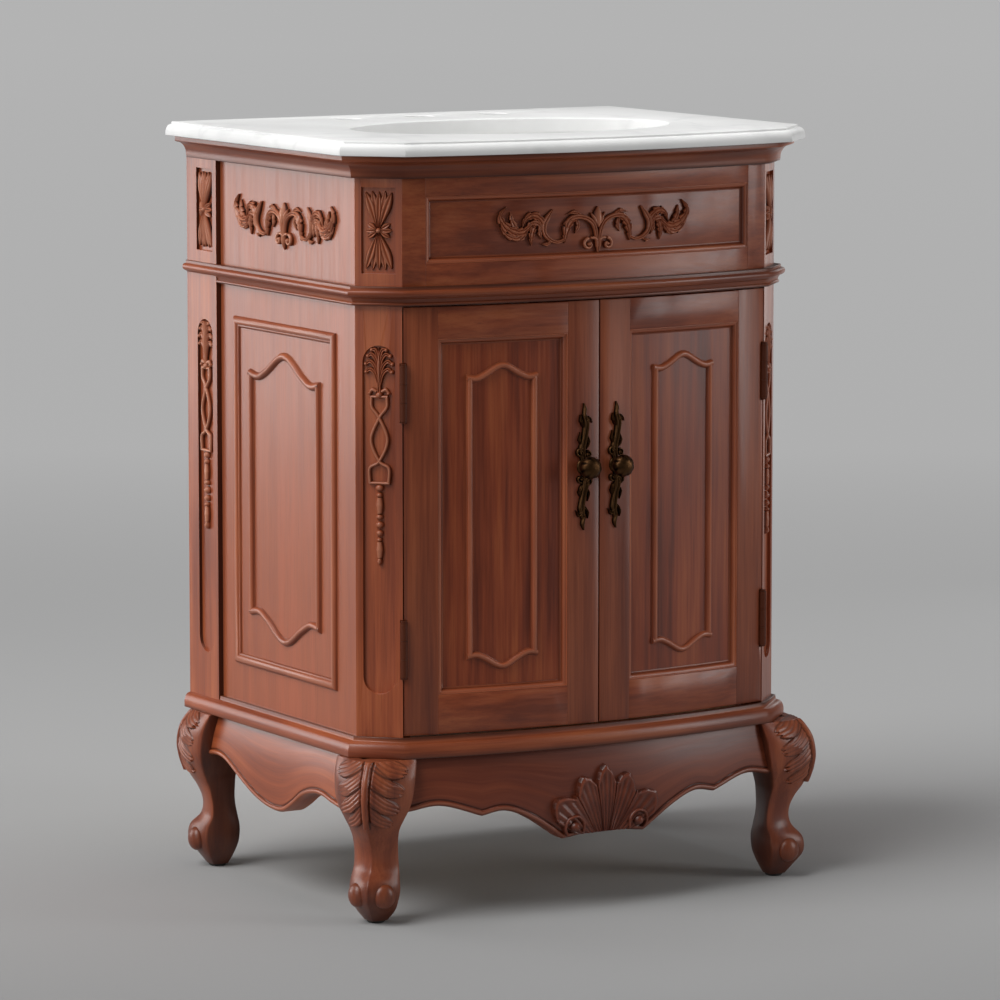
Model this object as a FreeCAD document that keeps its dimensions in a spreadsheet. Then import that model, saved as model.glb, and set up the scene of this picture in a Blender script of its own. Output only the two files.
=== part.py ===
import FreeCAD, Part
import Sketcher
import math
import os
import re
from types import SimpleNamespace

# Bow-front vanity cabinet with canted corners, cabriole legs, marble top and undermount basin.
# Millimetres, +Z up, front towards -Y, origin on the floor under the middle of the countertop.

SIZES = {
    # countertop
    "counter_width": 623.0,
    "counter_depth": 508.0,
    "total_height": 889.0,
    "counter_thickness": 16.0,
    "counter_cant_run": 54.0,
    "counter_bow_rise": 28.7,
    "edge_step": 8.0,
    "edge_quirk": 2.6,
    "edge_face": 3.6,
    # carcass plan and levels
    "counter_overhang": 30.0,
    "carcass_setback": 34.7,
    "carcass_back_inset": 6.5,
    "cant_run": 39.0,
    "bow_rise": 28.6,
    "base_level": 189.0,
    "base_moulding_height": 23.0,
    "base_moulding_reach": 14.0,
    "frieze_height": 170.0,
    "waist_height": 22.0,
    "waist_reach": 12.5,
    "cornice_height": 26.5,
    "cornice_reach": 21.5,
    # boards
    "board": 18.0,
    "post_stop": 14.0,
    "stile_width": 74.5,
    "stile_proud": 6.0,
    "deck": 16.0,
    "back_board": 6.0,
    "back_rail_height": 70.0,
    "back_rail_depth": 20.0,
    "pipe_opening_width": 300.0,
    "pipe_opening_height": 260.0,
    "pipe_opening_foot": 141.0,
    "block_leg": 60.0,
    "block_height": 40.0,
    # recesses in posts and stiles
    "recess_depth": 4.0,
    "square_recess_width": 40.0,
    "square_recess_height": 97.0,
    "square_recess_head": 37.0,
    "long_recess_width": 38.0,
    "long_recess_foot": 72.0,
    "long_recess_head": 45.0,
    "stile_recess_centre": 45.0,
    # frieze
    "frieze_stile_width": 27.8,
    "frieze_rail_height": 47.0,
    "panel_setback": 7.0,
    "panel_thickness": 9.0,
    "panel_moulding_width": 7.5,
    "panel_moulding_drop": 1.6,
    "panel_tongue": 6.0,
    "panel_fit": 0.15,
    # doors
    "door_thickness": 20.0,
    "door_gap": 1.6,
    "door_side_gap": 1.5,
    "door_meeting_gap": 2.0,
    "stop_gap": 0.6,
    "hinge_stile_width": 40.5,
    "lock_stile_width": 40.5,
    "top_rail_height": 36.4,
    "bottom_rail_height": 45.4,
    "door_arch_inset": 36.0,
    "door_arch_foot": 37.0,
    "door_arch_head": 42.0,
    "arch_rise": 13.0,
    "arch_bead_width": 8.5,
    "arch_bead_proud": 4.0,
    # side mouldings
    "side_frame_inset": 44.0,
    "side_frame_back_inset": 35.2,
    "side_frame_foot": 68.0,
    "side_frame_head": 35.5,
    "side_frame_bead": 13.0,
    "side_frame_proud": 4.0,
    "side_arch_inset": 37.0,
    "side_arch_foot": 61.0,
    "side_arch_head": 59.0,
    "side_arch_rise": 26.0,
    # hinges
    "hinge_height": 63.0,
    "hinge_leaf": 1.6,
    "hinge_leaf_width": 15.0,
    "hinge_knuckle_radius": 4.2,
    "hinge_pin_radius": 1.8,
    "hinge_proud": 1.4,
    "hinge_head": 65.4,
    "hinge_foot": 67.4,
    "pin_clearance": 0.05,
    "knuckle_clearance": 0.5,
    # handles and catches
    "handle_setback": 21.5,
    "handle_drop": 190.4,
    "plate_length": 146.0,
    "plate_width": 17.0,
    "plate_thickness": 4.0,
    "knob_radius": 13.0,
    "knob_reach": 27.0,
    "catch_width": 30.0,
    "catch_height": 12.0,
    "catch_depth": 12.0,
    "strike_thickness": 1.5,
    # aprons
    "apron_thickness": 18.0,
    "apron_swell": 14.0,
    "apron_root": 5.0,
    "front_apron_drop": 104.5,
    "side_apron_drop": 89.8,
    "back_apron_drop": 60.0,
    # legs
    "foot_side_inset": 11.0,
    "foot_front_inset": 14.5,
    "foot_back_inset": 35.0,
    "knee_reach": 50.0,
    "glide_height": 3.0,
    "glide_radius": 10.5,
    "boss_radius": 13.0,
    "boss_level": 33.0,
    "boss_centre": 16.0,
    "boss_lean": 3.6,
    # carvings
    "carving_proud": 6.0,
    "swag_half": 127.0,
    "swag_drop": 91.0,
    "swag_height": 52.0,
    "side_swag_half": 118.0,
    "shell_height": 83.0,
    "shell_half": 68.0,
    "shell_proud": 9.0,
    "shell_lift": 9.0,
    "pendant_inset": 4.0,
    "cross_inset": 4.0,
    # basin and taps
    "bowl_side_margin": 111.5,
    "bowl_front_margin": 98.0,
    "bowl_back_margin": 140.0,
    "bowl_depth": 145.0,
    "bowl_wall": 10.0,
    "bowl_flange": 18.0,
    "bowl_reveal": 4.0,
    "drain_radius": 22.5,
    "drain_seat_radius": 32.0,
    "drain_boss_height": 14.0,
    "overflow_radius": 7.0,
    "overflow_drop": 38.0,
    "clip_length": 34.0,
    "clip_leg": 11.0,
    "clip_thickness": 3.0,
    "tap_hole_radius": 17.5,
    "tap_spacing": 101.6,
    "tap_back": 60.0,
    # cuts
    "overrun": 2.0,
    "joint_gap": 0.3,
}

doc = FreeCAD.newDocument("vanity_unit")
sheet = doc.addObject("Spreadsheet::Sheet", "sizes")
for row, (alias, value) in enumerate(SIZES.items(), 1):
    sheet.set(f"A{row}", alias)
    sheet.set(f"B{row}", str(value))
    sheet.setAlias(f"B{row}", alias)
doc.recompute()
size = SimpleNamespace(**{alias: float(sheet.get(alias)) for alias in SIZES})

NODES = []
AXIS = {"x": FreeCAD.Vector(1, 0, 0), "y": FreeCAD.Vector(0, 1, 0), "z": FreeCAD.Vector(0, 0, 1)}
EIGHTH_TURN = math.pi / 4


# Helpers that make bound document objects

def bound(text):
    """An expression in which each size's name is read from the sheet."""
    return re.sub(r"[a-z_]+", lambda found: f"sizes.{found[0]}" if found[0] in SIZES else found[0], text)


def read(text):
    """The present value of an expression, in millimetres."""
    return float(sheet.evalExpression(bound(text)))


def tie(thing, **properties):
    """Bind properties of an object to expressions of the sizes."""
    for name, text in properties.items():
        thing.setExpression(name.replace("__", "."), bound(text))
    return thing


def node(thing, label):
    """Give an object the label of a finished sub-part."""
    thing.Label = label
    NODES.append(thing)
    return thing


def place(thing, x, y, z):
    """Bind the base point of an object's placement."""
    return tie(thing, Placement__Base__x=x, Placement__Base__y=y, Placement__Base__z=z)


def board(name, low, high):
    """A box between two corners whose six coordinates are expressions."""
    box = doc.addObject("Part::Box", name)
    spans = [f"({top}) - ({bottom})" for bottom, top in zip(low, high)]
    tie(box, Length=spans[0], Width=spans[1], Height=spans[2])
    return place(box, *low)


def rod(name, radius, height, x, y, z):
    """An upright cylinder."""
    cylinder = doc.addObject("Part::Cylinder", name)
    tie(cylinder, Radius=radius, Height=height)
    return place(cylinder, x, y, z)


def cut(name, base, tool):
    """One object less another."""
    result = doc.addObject("Part::Cut", name)
    result.Base = base
    result.Tool = tool
    return result


def fuse(name, *things):
    """Several objects joined into one."""
    result = doc.addObject("Part::MultiFuse", name)
    result.Shapes = list(things)
    return result


def group(name, *things):
    """Several separate solids kept as one node."""
    result = doc.addObject("Part::Compound", name)
    result.Links = list(things)
    return result


def mirrored(name, source, normal=AXIS["x"], base=None):
    """The mirror image of an object."""
    result = doc.addObject("Part::Mirroring", name)
    result.Source = source
    result.Normal = normal
    if base is not None:
        result.Base = base
    return result


def formed(name, shape):
    """An object whose shape is worked out in code from the sheet's sizes."""
    feature = doc.addObject("Part::Feature", name)
    feature.Shape = shape
    feature.Placement = FreeCAD.Placement()
    return feature


def pair(make, stem):
    """A left sub-part from its maker and the right one as its mirror image."""
    left = node(make(f"{stem}_left"), f"{stem}_left")
    node(mirrored(f"{stem}_right", left), f"{stem}_right")
    return left


# Sketched bodies

def sketch(body, name, role, offset=None):
    """A sketch on one of the body's own origin planes, moved by a bound offset where one is given."""
    plane = next(item for item in body.Origin.OriginFeatures if item.Role == role)
    drawing = body.newObject("Sketcher::SketchObject", name)
    drawing.AttachmentSupport = (plane, "")
    drawing.MapMode = "FlatFace"
    if offset:
        turn, base = offset
        drawing.AttachmentOffset = FreeCAD.Placement(FreeCAD.Vector(), FreeCAD.Rotation(AXIS["y"], turn))
        tie(drawing, **{f"AttachmentOffset__Base__{axis}": text for axis, text in zip("xyz", base)})
    return drawing


def fix(drawing, item, end, x, y):
    """Bind the place of one end of a sketched item."""
    for kind, text in (("DistanceX", x), ("DistanceY", y)):
        number = drawing.addConstraint(Sketcher.Constraint(kind, -1, 1, item, end, read(text)))
        drawing.setExpression(f"Constraints[{number}]", bound(text))


def polygon(drawing, corners):
    """A closed polygon with every corner bound."""
    points = [FreeCAD.Vector(read(x), read(y), 0) for x, y in corners]
    count = len(points)
    drawing.addGeometry([Part.LineSegment(points[i], points[(i + 1) % count]) for i in range(count)], False)
    for i in range(count):
        drawing.addConstraint(Sketcher.Constraint("Coincident", i, 2, (i + 1) % count, 1))
        fix(drawing, i, 1, *corners[i])
    return drawing


def rectangle(drawing, low, high):
    """A rectangle between two bound corners."""
    return polygon(drawing, [low, (high[0], low[1]), high, (low[0], high[1])])


def slot(drawing, x, low, high, width):
    """An upright slot with round ends."""
    half = read(width) / 2
    centre, bottom, top = read(x), read(low) + half, read(high) - half
    corner = [FreeCAD.Vector(centre + side * half, level, 0) for side, level in
              ((-1, bottom), (-1, top), (1, top), (1, bottom))]
    peak = FreeCAD.Vector(centre, read(high), 0)
    trough = FreeCAD.Vector(centre, read(low), 0)
    lines = [Part.LineSegment(corner[0], corner[1]), Part.LineSegment(corner[2], corner[3])]
    arcs = [Part.Arc(corner[1], peak, corner[2]), Part.Arc(corner[3], trough, corner[0])]
    drawing.addGeometry([lines[0], arcs[0], lines[1], arcs[1]], False)
    for line, arc in ((0, 1), (2, 1), (2, 3), (0, 3)):
        ends = [(a, b) for a in (1, 2) for b in (1, 2)
                if drawing.getPoint(line, a).isEqual(drawing.getPoint(arc, b), size.joint_gap)]
        drawing.addConstraint(Sketcher.Constraint("Tangent", line, ends[0][0], arc, ends[0][1]))
    fix(drawing, 1, 3, x, f"({high}) - ({width}) / 2")
    fix(drawing, 3, 3, x, f"({low}) + ({width}) / 2")
    number = drawing.addConstraint(Sketcher.Constraint("Radius", 1, half))
    drawing.setExpression(f"Constraints[{number}]", bound(f"({width}) / 2"))
    return drawing


def pad(body, drawing, length, backwards=False):
    """A pad of a sketch to a bound length."""
    feature = body.newObject("PartDesign::Pad", "pad")
    feature.Profile = drawing
    feature.Reversed = backwards
    tie(feature, Length=length)
    doc.recompute()
    return feature


def pocket(body, drawing, depth, backwards=False):
    """A pocket of a sketch to a bound depth, which has to take material away."""
    before = body.Shape.Volume
    feature = body.newObject("PartDesign::Pocket", "pocket")
    feature.Profile = drawing
    feature.Reversed = backwards
    tie(feature, Length=depth)
    doc.recompute()
    assert body.Shape.Volume < before, drawing.Name
    return feature


def turned(name, profile):
    """A body turned about Z from a bound profile of radius and level."""
    body = doc.addObject("PartDesign::Body", name)
    drawing = polygon(sketch(body, f"{name}_profile", "XZ_Plane"), profile)
    feature = body.newObject("PartDesign::Revolution", f"{name}_turn")
    feature.Profile = drawing
    feature.ReferenceAxis = (drawing, ["V_Axis"])
    doc.recompute()
    return body


# Plan of the carcass, as expressions and as values

HALF = "(counter_width / 2 - counter_overhang)"
ARRIS = f"({HALF} - cant_run)"
RADIUS = f"(({ARRIS}^2 + bow_rise^2) / (2 * bow_rise))"
APEX = "(carcass_setback - counter_depth / 2)"
CENTRE = f"({APEX} + {RADIUS})"
FRONT = f"({APEX} + bow_rise)"
SHOULDER = f"({FRONT} + cant_run)"
BACK = "(counter_depth / 2 - carcass_back_inset)"
STILE_FRONT = f"({BACK} - stile_width)"
TOP = "(total_height - counter_thickness)"
BASE_TOP = "(base_level + base_moulding_height)"
WAIST = f"({TOP} - frieze_height)"
DOOR_LOW = f"({BASE_TOP} + door_gap)"
DOOR_HIGH = f"({WAIST} - door_gap)"
LINING = "(door_thickness + stop_gap)"


def plan(half, cant, rise, apex, back):
    """A plan with square sides, canted corners and a bowed front."""
    arris = half - cant
    radius = (arris ** 2 + rise ** 2) / (2 * rise)
    return SimpleNamespace(half=half, arris=arris, radius=radius, apex=apex, centre=apex + radius,
                           front=apex + rise, shoulder=apex + rise + cant, back=back, cant=cant)


carcass = plan(size.counter_width / 2 - size.counter_overhang, size.cant_run, size.bow_rise,
               size.carcass_setback - size.counter_depth / 2,
               size.counter_depth / 2 - size.carcass_back_inset)
counter = plan(size.counter_width / 2, size.counter_cant_run, size.counter_bow_rise,
               -size.counter_depth / 2, size.counter_depth / 2)
BOW_HALF = carcass.radius * math.asin(carcass.arris / carcass.radius)
counter_low = size.total_height - size.counter_thickness
waist_level = counter_low - size.frieze_height


def corners(shape, offset):
    """The left corners of a plan moved outwards: at the back, at the shoulder and at the front arris."""
    side = -(shape.half + offset)
    diagonal = shape.shoulder - shape.half - math.sqrt(2) * offset
    reach = shape.radius + offset
    middle = diagonal + shape.centre
    spread = math.sqrt(middle ** 2 - 2 * (diagonal ** 2 + shape.centre ** 2 - reach ** 2))
    front = (middle - spread) / 2
    return [(side, shape.back), (side, shape.shoulder - offset * math.tan(EIGHTH_TURN / 2)),
            (diagonal - front, front)]


def on_bow(distance, offset=0.0):
    """The plan point at an arc length along the bowed front, moved outwards."""
    angle = distance / carcass.radius
    reach = carcass.radius + offset
    return reach * math.sin(angle), carcass.centre - reach * math.cos(angle)


def outline_face(points, at):
    """A face from corners joined by lines, or by an arc where an item is a middle point and an end."""
    edges = []
    last = points[0]
    for item in points[1:] + points[:1]:
        if isinstance(item[0], tuple):
            edges.append(Part.Arc(at(*last), at(*item[0]), at(*item[1])).toShape())
            last = item[1]
        elif item != last:
            edges.append(Part.LineSegment(at(*last), at(*item)).toShape())
            last = item
    return Part.Face(Part.Wire(edges))


def prism(points, low, high):
    """An upright prism over plan points."""
    ring = [FreeCAD.Vector(x, y, low) for x, y in points]
    return Part.Face(Part.makePolygon(ring + ring[:1])).extrude(AXIS["z"] * (high - low))


def runs(shape, profile):
    """A profile of offset and level carried along the left side, the left cant and the bowed front."""
    shoulder = FreeCAD.Vector(-shape.half, shape.shoulder, 0)
    outward = FreeCAD.Vector(-1, -1, 0).normalize()
    along = FreeCAD.Vector(1, -1, 0).normalize()
    length = shape.back - shape.apex
    side = outline_face(profile, lambda o, z: FreeCAD.Vector(-shape.half - o, shape.back, z))
    start = shoulder - along * shape.cant
    cant = outline_face(profile, lambda o, z: start + outward * o + AXIS["z"] * z)
    turn = 2 * math.degrees(math.asin(shape.arris / shape.radius))
    bow = outline_face(profile, lambda o, z: FreeCAD.Vector(0, shape.centre - shape.radius - o, z))
    axis = FreeCAD.Vector(0, shape.centre, 0)
    bow.rotate(axis, AXIS["z"], -turn)
    return (side.extrude(AXIS["y"] * -length), cant.extrude(along * (shape.cant * 4)),
            bow.revolve(axis, AXIS["z"], 2 * turn))


def mitred(shape, profile):
    """The side, cant and front lengths of a moulding, cut to meet at the mitres."""
    ends = [item[1] if isinstance(item[0], tuple) else item for item in profile]
    middles = [item[0] for item in profile if isinstance(item[0], tuple)]
    offsets, levels = zip(*(ends + middles))
    near = corners(shape, min(offsets) - size.overrun)
    far = corners(shape, max(offsets) + size.overrun)
    ahead = shape.apex - max(offsets) - size.overrun
    front = [near[2], far[2], (far[2][0], ahead)]
    plans = ([near[0], far[0], far[1], near[1]], [near[1], far[1], far[2], near[2]],
             front + [(-x, y) for x, y in reversed(front)])
    return [run.common(prism(points, min(levels), max(levels))).Solids[0]
            for run, points in zip(runs(shape, profile), plans)]


def scaled(shares, low, reach, height):
    """A moulding profile from shares of its reach and height above a level."""
    def spot(pair):
        return pair[0] * reach, low + pair[1] * height
    return [tuple(map(spot, item)) if isinstance(item[0], tuple) else spot(item) for item in shares]


# Marble countertop with a moulded edge, an oval cut-out and three tap holes

BOWL_WIDTH = "(counter_width - 2 * bowl_side_margin)"
BOWL_LENGTH = "(counter_depth - bowl_front_margin - bowl_back_margin)"
BOWL_Y = f"(counter_depth / 2 - bowl_back_margin - {BOWL_LENGTH} / 2)"


def slab(shape, low, high):
    """A board over a whole plan."""
    left = [FreeCAD.Vector(x, y, low) for x, y in corners(shape, 0)]
    right = [FreeCAD.Vector(-spot.x, spot.y, low) for spot in reversed(left)]
    ring = left + right
    edges = [Part.LineSegment(ring[i], ring[(i + 1) % 6]).toShape() for i in (0, 1, 3, 4, 5)]
    edges.insert(2, Part.Arc(left[2], FreeCAD.Vector(0, shape.apex, low), right[0]).toShape())
    return Part.Face(Part.Wire(edges)).extrude(AXIS["z"] * (high - low))


def oval(name, half_width, half_length, low, height):
    """An upright oval prism about the middle of the bowl."""
    ellipse = doc.addObject("Part::Ellipse", f"{name}_line")
    tie(ellipse, MajorRadius=half_width, MinorRadius=half_length)
    place(ellipse, "0", BOWL_Y, low)
    solid = doc.addObject("Part::Extrusion", name)
    solid.Base = ellipse
    solid.Dir = AXIS["z"]
    solid.Solid = True
    return tie(solid, LengthFwd=height)


def edged_slab():
    """The slab with the quirk and ovolo cut along its sides, cants and front."""
    high = size.total_height
    face = counter_low + size.edge_face
    ovolo = high - size.edge_quirk - face
    turn = math.cos(EIGHTH_TURN)
    waste = [(-size.edge_step, high + size.overrun), (-size.edge_step, high - size.edge_quirk),
             ((-size.edge_step * (1 - turn), face + ovolo * turn), (0, face)),
             (size.overrun, face), (size.overrun, high + size.overrun)]
    shape = slab(counter, counter_low, high)
    for run in runs(counter, waste):
        shape = shape.cut(run).cut(run.mirror(FreeCAD.Vector(), AXIS["x"]))
    return shape


cut_out = oval("bowl_cut_out", f"{BOWL_WIDTH} / 2", f"{BOWL_LENGTH} / 2", f"{TOP} - overrun",
               "counter_thickness + 2 * overrun")
tap_holes = [rod(f"tap_hole_{word}", "tap_hole_radius", "counter_thickness + 2 * overrun",
                 f"{step} * tap_spacing", "counter_depth / 2 - tap_back", f"{TOP} - overrun")
             for word, step in (("left", -1), ("centre", 0), ("right", 1))]
blank = formed("countertop_blank", edged_slab())
node(cut("countertop", blank, fuse("countertop_holes", cut_out, *tap_holes)), "countertop")


# Undermount basin: oval bowl, flange, drain seat and overflow

def ellipsoid(name, across, along, down):
    """An ellipsoid about the middle of the bowl's rim."""
    solid = doc.addObject("Part::Ellipsoid", name)
    tie(solid, Radius1=down, Radius2=across, Radius3=along)
    return place(solid, "0", BOWL_Y, TOP)


RIM_X = f"({BOWL_WIDTH} / 2 + bowl_reveal)"
RIM_Y = f"({BOWL_LENGTH} / 2 + bowl_reveal)"
FLANGE_X = f"({RIM_X} + bowl_flange)"
FLANGE_Y = f"({RIM_Y} + bowl_flange)"
BOWL_FLOOR = f"({TOP} - bowl_depth)"
outer = ellipsoid("bowl_outer", f"{RIM_X} + bowl_wall", f"{RIM_Y} + bowl_wall", "bowl_depth + bowl_wall")
outer.Angle2 = 0
flange = oval("bowl_flange_disc", FLANGE_X, FLANGE_Y, f"{TOP} - bowl_wall", "bowl_wall")
boss = rod("drain_boss", "drain_seat_radius", "drain_boss_height", "0", BOWL_Y,
           f"{BOWL_FLOOR} - drain_boss_height")
inner = ellipsoid("bowl_inner", RIM_X, RIM_Y, "bowl_depth")
seat = rod("drain_seat", "drain_seat_radius", "drain_boss_height", "0", BOWL_Y, BOWL_FLOOR)
drain = rod("drain_hole", "drain_radius", "2 * drain_boss_height", "0", BOWL_Y,
            f"{BOWL_FLOOR} - drain_boss_height - overrun")
overflow = rod("overflow_hole", "overflow_radius", FLANGE_Y, "0", BOWL_Y, f"{TOP} - overflow_drop")
overflow.Placement.Rotation = FreeCAD.Rotation(AXIS["x"], -90)
node(cut("basin", fuse("bowl_body", outer, flange, boss),
         fuse("bowl_hollow", inner, seat, drain, overflow)), "basin")

CLIP_LOW = f"({TOP} - bowl_wall - joint_gap - clip_thickness)"
TONGUE = "(bowl_flange - bowl_wall - 2 * joint_gap)"


def clip(name, sign, along_y):
    """An L clip screwed under the top, with its tongue below the bowl's flange."""
    reach = FLANGE_Y if along_y else FLANGE_X
    spans = {"leg": (f"{reach} + joint_gap", f"{reach} + joint_gap + clip_leg", TOP),
             "tongue": (f"{reach} - {TONGUE}", f"{reach} + joint_gap", f"{CLIP_LOW} + clip_thickness")}
    boxes = []
    for word, (near, far, high) in spans.items():
        ends = sorted((f"{sign} * ({near})", f"{sign} * ({far})"), key=read)
        lengths = [(ends[0], ends[1]), ("-clip_length / 2", "clip_length / 2")]
        across, deep = reversed(lengths) if along_y else lengths
        low = (across[0], f"{BOWL_Y} + {deep[0]}", CLIP_LOW)
        boxes.append(board(f"{name}_{word}", low, (across[1], f"{BOWL_Y} + {deep[1]}", high)))
    return fuse(name, *boxes)


clip_places = (("left", -1, False), ("right", 1, False), ("front", -1, True), ("rear", 1, True))
clips = [clip(f"clip_{word}", sign, along) for word, sign, along in clip_places]
node(group("basin_clips", *clips), "basin_clips")


# Posts at the canted corners, stiles at the back of the sides, and the flat boards

SQUARE_HIGH = f"({TOP} - square_recess_head)"
SQUARE_LOW = f"({SQUARE_HIGH} - square_recess_height)"
LONG_LOW = "(base_level + long_recess_foot)"
LONG_HIGH = f"({WAIST} - long_recess_head)"


def front_post(name):
    """The canted corner post with a stop behind the door and two recesses in its cant."""
    lean_x = f"{ARRIS} / {RADIUS}"
    lean_y = f"({CENTRE} - {FRONT}) / {RADIUS}"
    inner_x = f"(-{ARRIS} + {LINING} * {lean_x})"
    inner_y = f"({FRONT} + {LINING} * {lean_y})"
    stop_x = f"({inner_x} + post_stop * {lean_y})"
    stop_y = f"({inner_y} - post_stop * {lean_x})"
    body = doc.addObject("PartDesign::Body", name)
    section = polygon(sketch(body, f"{name}_section", "XY_Plane", (0, ("0", "0", "base_level"))),
                      [(f"-{HALF}", SHOULDER), (f"-{ARRIS}", FRONT), (inner_x, inner_y), (stop_x, stop_y),
                       (stop_x, SHOULDER)])
    pad(body, section, f"{TOP} - base_level")
    cant = (-math.degrees(EIGHTH_TURN), (f"-({HALF} + {ARRIS}) / 2", "0", f"-({FRONT} + {SHOULDER}) / 2"))
    upper = rectangle(sketch(body, f"{name}_upper_recess", "XZ_Plane", cant),
                      ("-square_recess_width / 2", SQUARE_LOW), ("square_recess_width / 2", SQUARE_HIGH))
    pocket(body, upper, "recess_depth")
    lower = slot(sketch(body, f"{name}_long_recess", "XZ_Plane", cant), "0", LONG_LOW, LONG_HIGH,
                 "long_recess_width")
    pocket(body, lower, "recess_depth")
    return body


def rear_stile(name):
    """The stile at the back of a side, proud of the panel, with the same two recesses."""
    body = doc.addObject("PartDesign::Body", name)
    face = (0, ("0", "0", f"-{HALF} - stile_proud"))
    blank = rectangle(sketch(body, f"{name}_face", "YZ_Plane", face), (STILE_FRONT, "base_level"),
                      (BACK, TOP))
    pad(body, blank, "board + stile_proud")
    middle = f"({BACK} - stile_recess_centre)"
    upper = rectangle(sketch(body, f"{name}_upper_recess", "YZ_Plane", face),
                      (f"{middle} - square_recess_width / 2", SQUARE_LOW),
                      (f"{middle} + square_recess_width / 2", SQUARE_HIGH))
    pocket(body, upper, "recess_depth", True)
    lower = slot(sketch(body, f"{name}_long_recess", "YZ_Plane", face), middle, LONG_LOW, LONG_HIGH,
                 "long_recess_width")
    pocket(body, lower, "recess_depth", True)
    return body


post_left = front_post("post_blank_left")
stile_left = pair(rear_stile, "rear_stile")
side_left = pair(lambda name: board(name, (f"-{HALF}", SHOULDER, "base_level"),
                                    (f"board - {HALF}", STILE_FRONT, TOP)), "side_panel")
INNER = f"({HALF} - board)"
INNER_BACK = f"({BACK} - back_board)"
back_blank = board("back_blank", (f"-{INNER}", INNER_BACK, "base_level"), (INNER, BACK, TOP))
PIPE_LOW = "(base_level + pipe_opening_foot)"
pipe_opening = board("pipe_opening",
                     ("-pipe_opening_width / 2", f"{INNER_BACK} - overrun", PIPE_LOW),
                     ("pipe_opening_width / 2", f"{BACK} + overrun", f"{PIPE_LOW} + pipe_opening_height"))
back_panel = node(cut("back_panel", back_blank, pipe_opening), "back_panel")
RAIL_FRONT = f"({INNER_BACK} - back_rail_depth)"
DECK_TOP = "(base_level + deck)"
top_rail = board("back_top_rail", (f"-{INNER}", RAIL_FRONT, f"{TOP} - back_rail_height"),
                 (INNER, INNER_BACK, TOP))
bottom_rail = board("back_bottom_rail", (f"-{INNER}", RAIL_FRONT, DECK_TOP),
                    (INNER, INNER_BACK, f"{DECK_TOP} + back_rail_height"))
node(group("back_rails", top_rail, bottom_rail), "back_rails")
walls = group("deck_walls", post_left, mirrored("post_copy", post_left),
              stile_left, mirrored("stile_copy", stile_left),
              side_left, mirrored("side_copy", side_left), back_blank)
deck_blank = formed("deck_blank", slab(carcass, size.base_level, size.base_level + size.deck))
node(cut("bottom_panel", deck_blank, walls), "bottom_panel")
BLOCK_LOW = f"({TOP} - block_height)"


def corner_block(name, side, front, back):
    """A block screwed under the top in one corner of the carcass."""
    near, far = (f"-{INNER}", f"board - {INNER}") if side < 0 else (f"{INNER} - board", INNER)
    return board(name, (near, front, BLOCK_LOW), (far, back, TOP))


block_spans = {"rear": (f"{RAIL_FRONT} - block_leg", RAIL_FRONT),
               "front": (SHOULDER, f"{SHOULDER} + block_leg")}
blocks = [corner_block(f"corner_block_{word}_{hand}", side, *span)
          for word, span in block_spans.items() for hand, side in (("left", -1), ("right", 1))]
node(group("corner_blocks", *blocks), "corner_blocks")


# Cornice, waist and base mouldings, mitred at the cants and scribed round the rear stiles

CORNICE_SHARES = [(0, 0), (0.28, 0), (0.3, 0.14), ((0.42, 0.5), (0.84, 0.7)), (1, 0.76), (1, 1), (0, 1)]
WAIST_SHARES = [(0, 0), (0.36, 0), (0.44, 0.03), (0.47, 0.1), (0.44, 0.18), (0.38, 0.22), (0.4, 0.33),
                (0.5, 0.42), (0.64, 0.47), (0.8, 0.48), (0.92, 0.52), (0.99, 0.6), (1, 0.68), (0.94, 0.78),
                (0.84, 0.84), (0.66, 0.88), (0.62, 1), (0, 1)]
BASE_SHARES = [(0, 0), (0.7, 0), ((1, 0.33), (0.74, 0.68)), (0.54, 0.74), (0.14, 1), (0, 1)]


def moulding(stem, shares, low, reach, height):
    """The front length and the left and right lengths of one moulding."""
    side, cant, front = mitred(carcass, scaled(shares, low, reach, height))
    node(formed(f"{stem}_front", front), f"{stem}_front")
    blank = formed(f"{stem}_blank", Part.makeCompound([side, cant]))
    pair(lambda name: cut(name, blank, stile_left), f"{stem}")


moulding("cornice", CORNICE_SHARES, counter_low - size.cornice_height, size.cornice_reach,
         size.cornice_height)
moulding("waist_moulding", WAIST_SHARES, waist_level, size.waist_reach, size.waist_height)
moulding("base_moulding", BASE_SHARES, size.base_level, size.base_moulding_reach,
         size.base_moulding_height)


# Bowed frames: the frieze and the doors

BOW = f"({RADIUS} * asin({ARRIS} / {RADIUS}) / 1 rad)"


def sector(name, radius, start, end, low, high):
    """A cylinder sector about the bow's centre between two arc lengths of the front face."""
    solid = doc.addObject("Part::Cylinder", name)
    solid.Placement.Rotation = FreeCAD.Rotation(-AXIS["z"], 90)
    sweep = f"(({end}) - ({start})) / {RADIUS} * 180 / pi"
    tie(solid, Radius=radius, Height=f"({high}) - ({low})", Angle=sweep,
        Placement__Rotation__Angle=f"90 - ({start}) / {RADIUS} * 180 / pi")
    return place(solid, "0", CENTRE, low)


def bowed(name, span, levels, depths):
    """A bowed board between two arc lengths, two levels and two depths behind the front face."""
    outer_part = sector(f"{name}_outer", f"{RADIUS} - ({depths[0]})", *span, *levels)
    inner_part = sector(f"{name}_inner", f"{RADIUS} - ({depths[1]})", *span, *levels)
    return cut(name, outer_part, inner_part)


def grown(window, step):
    """A window of arc lengths and levels made larger all round."""
    (start, end), (low, high) = window
    return (f"{start} - ({step})", f"{end} + ({step})"), (f"{low} - ({step})", f"{high} + ({step})")


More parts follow.
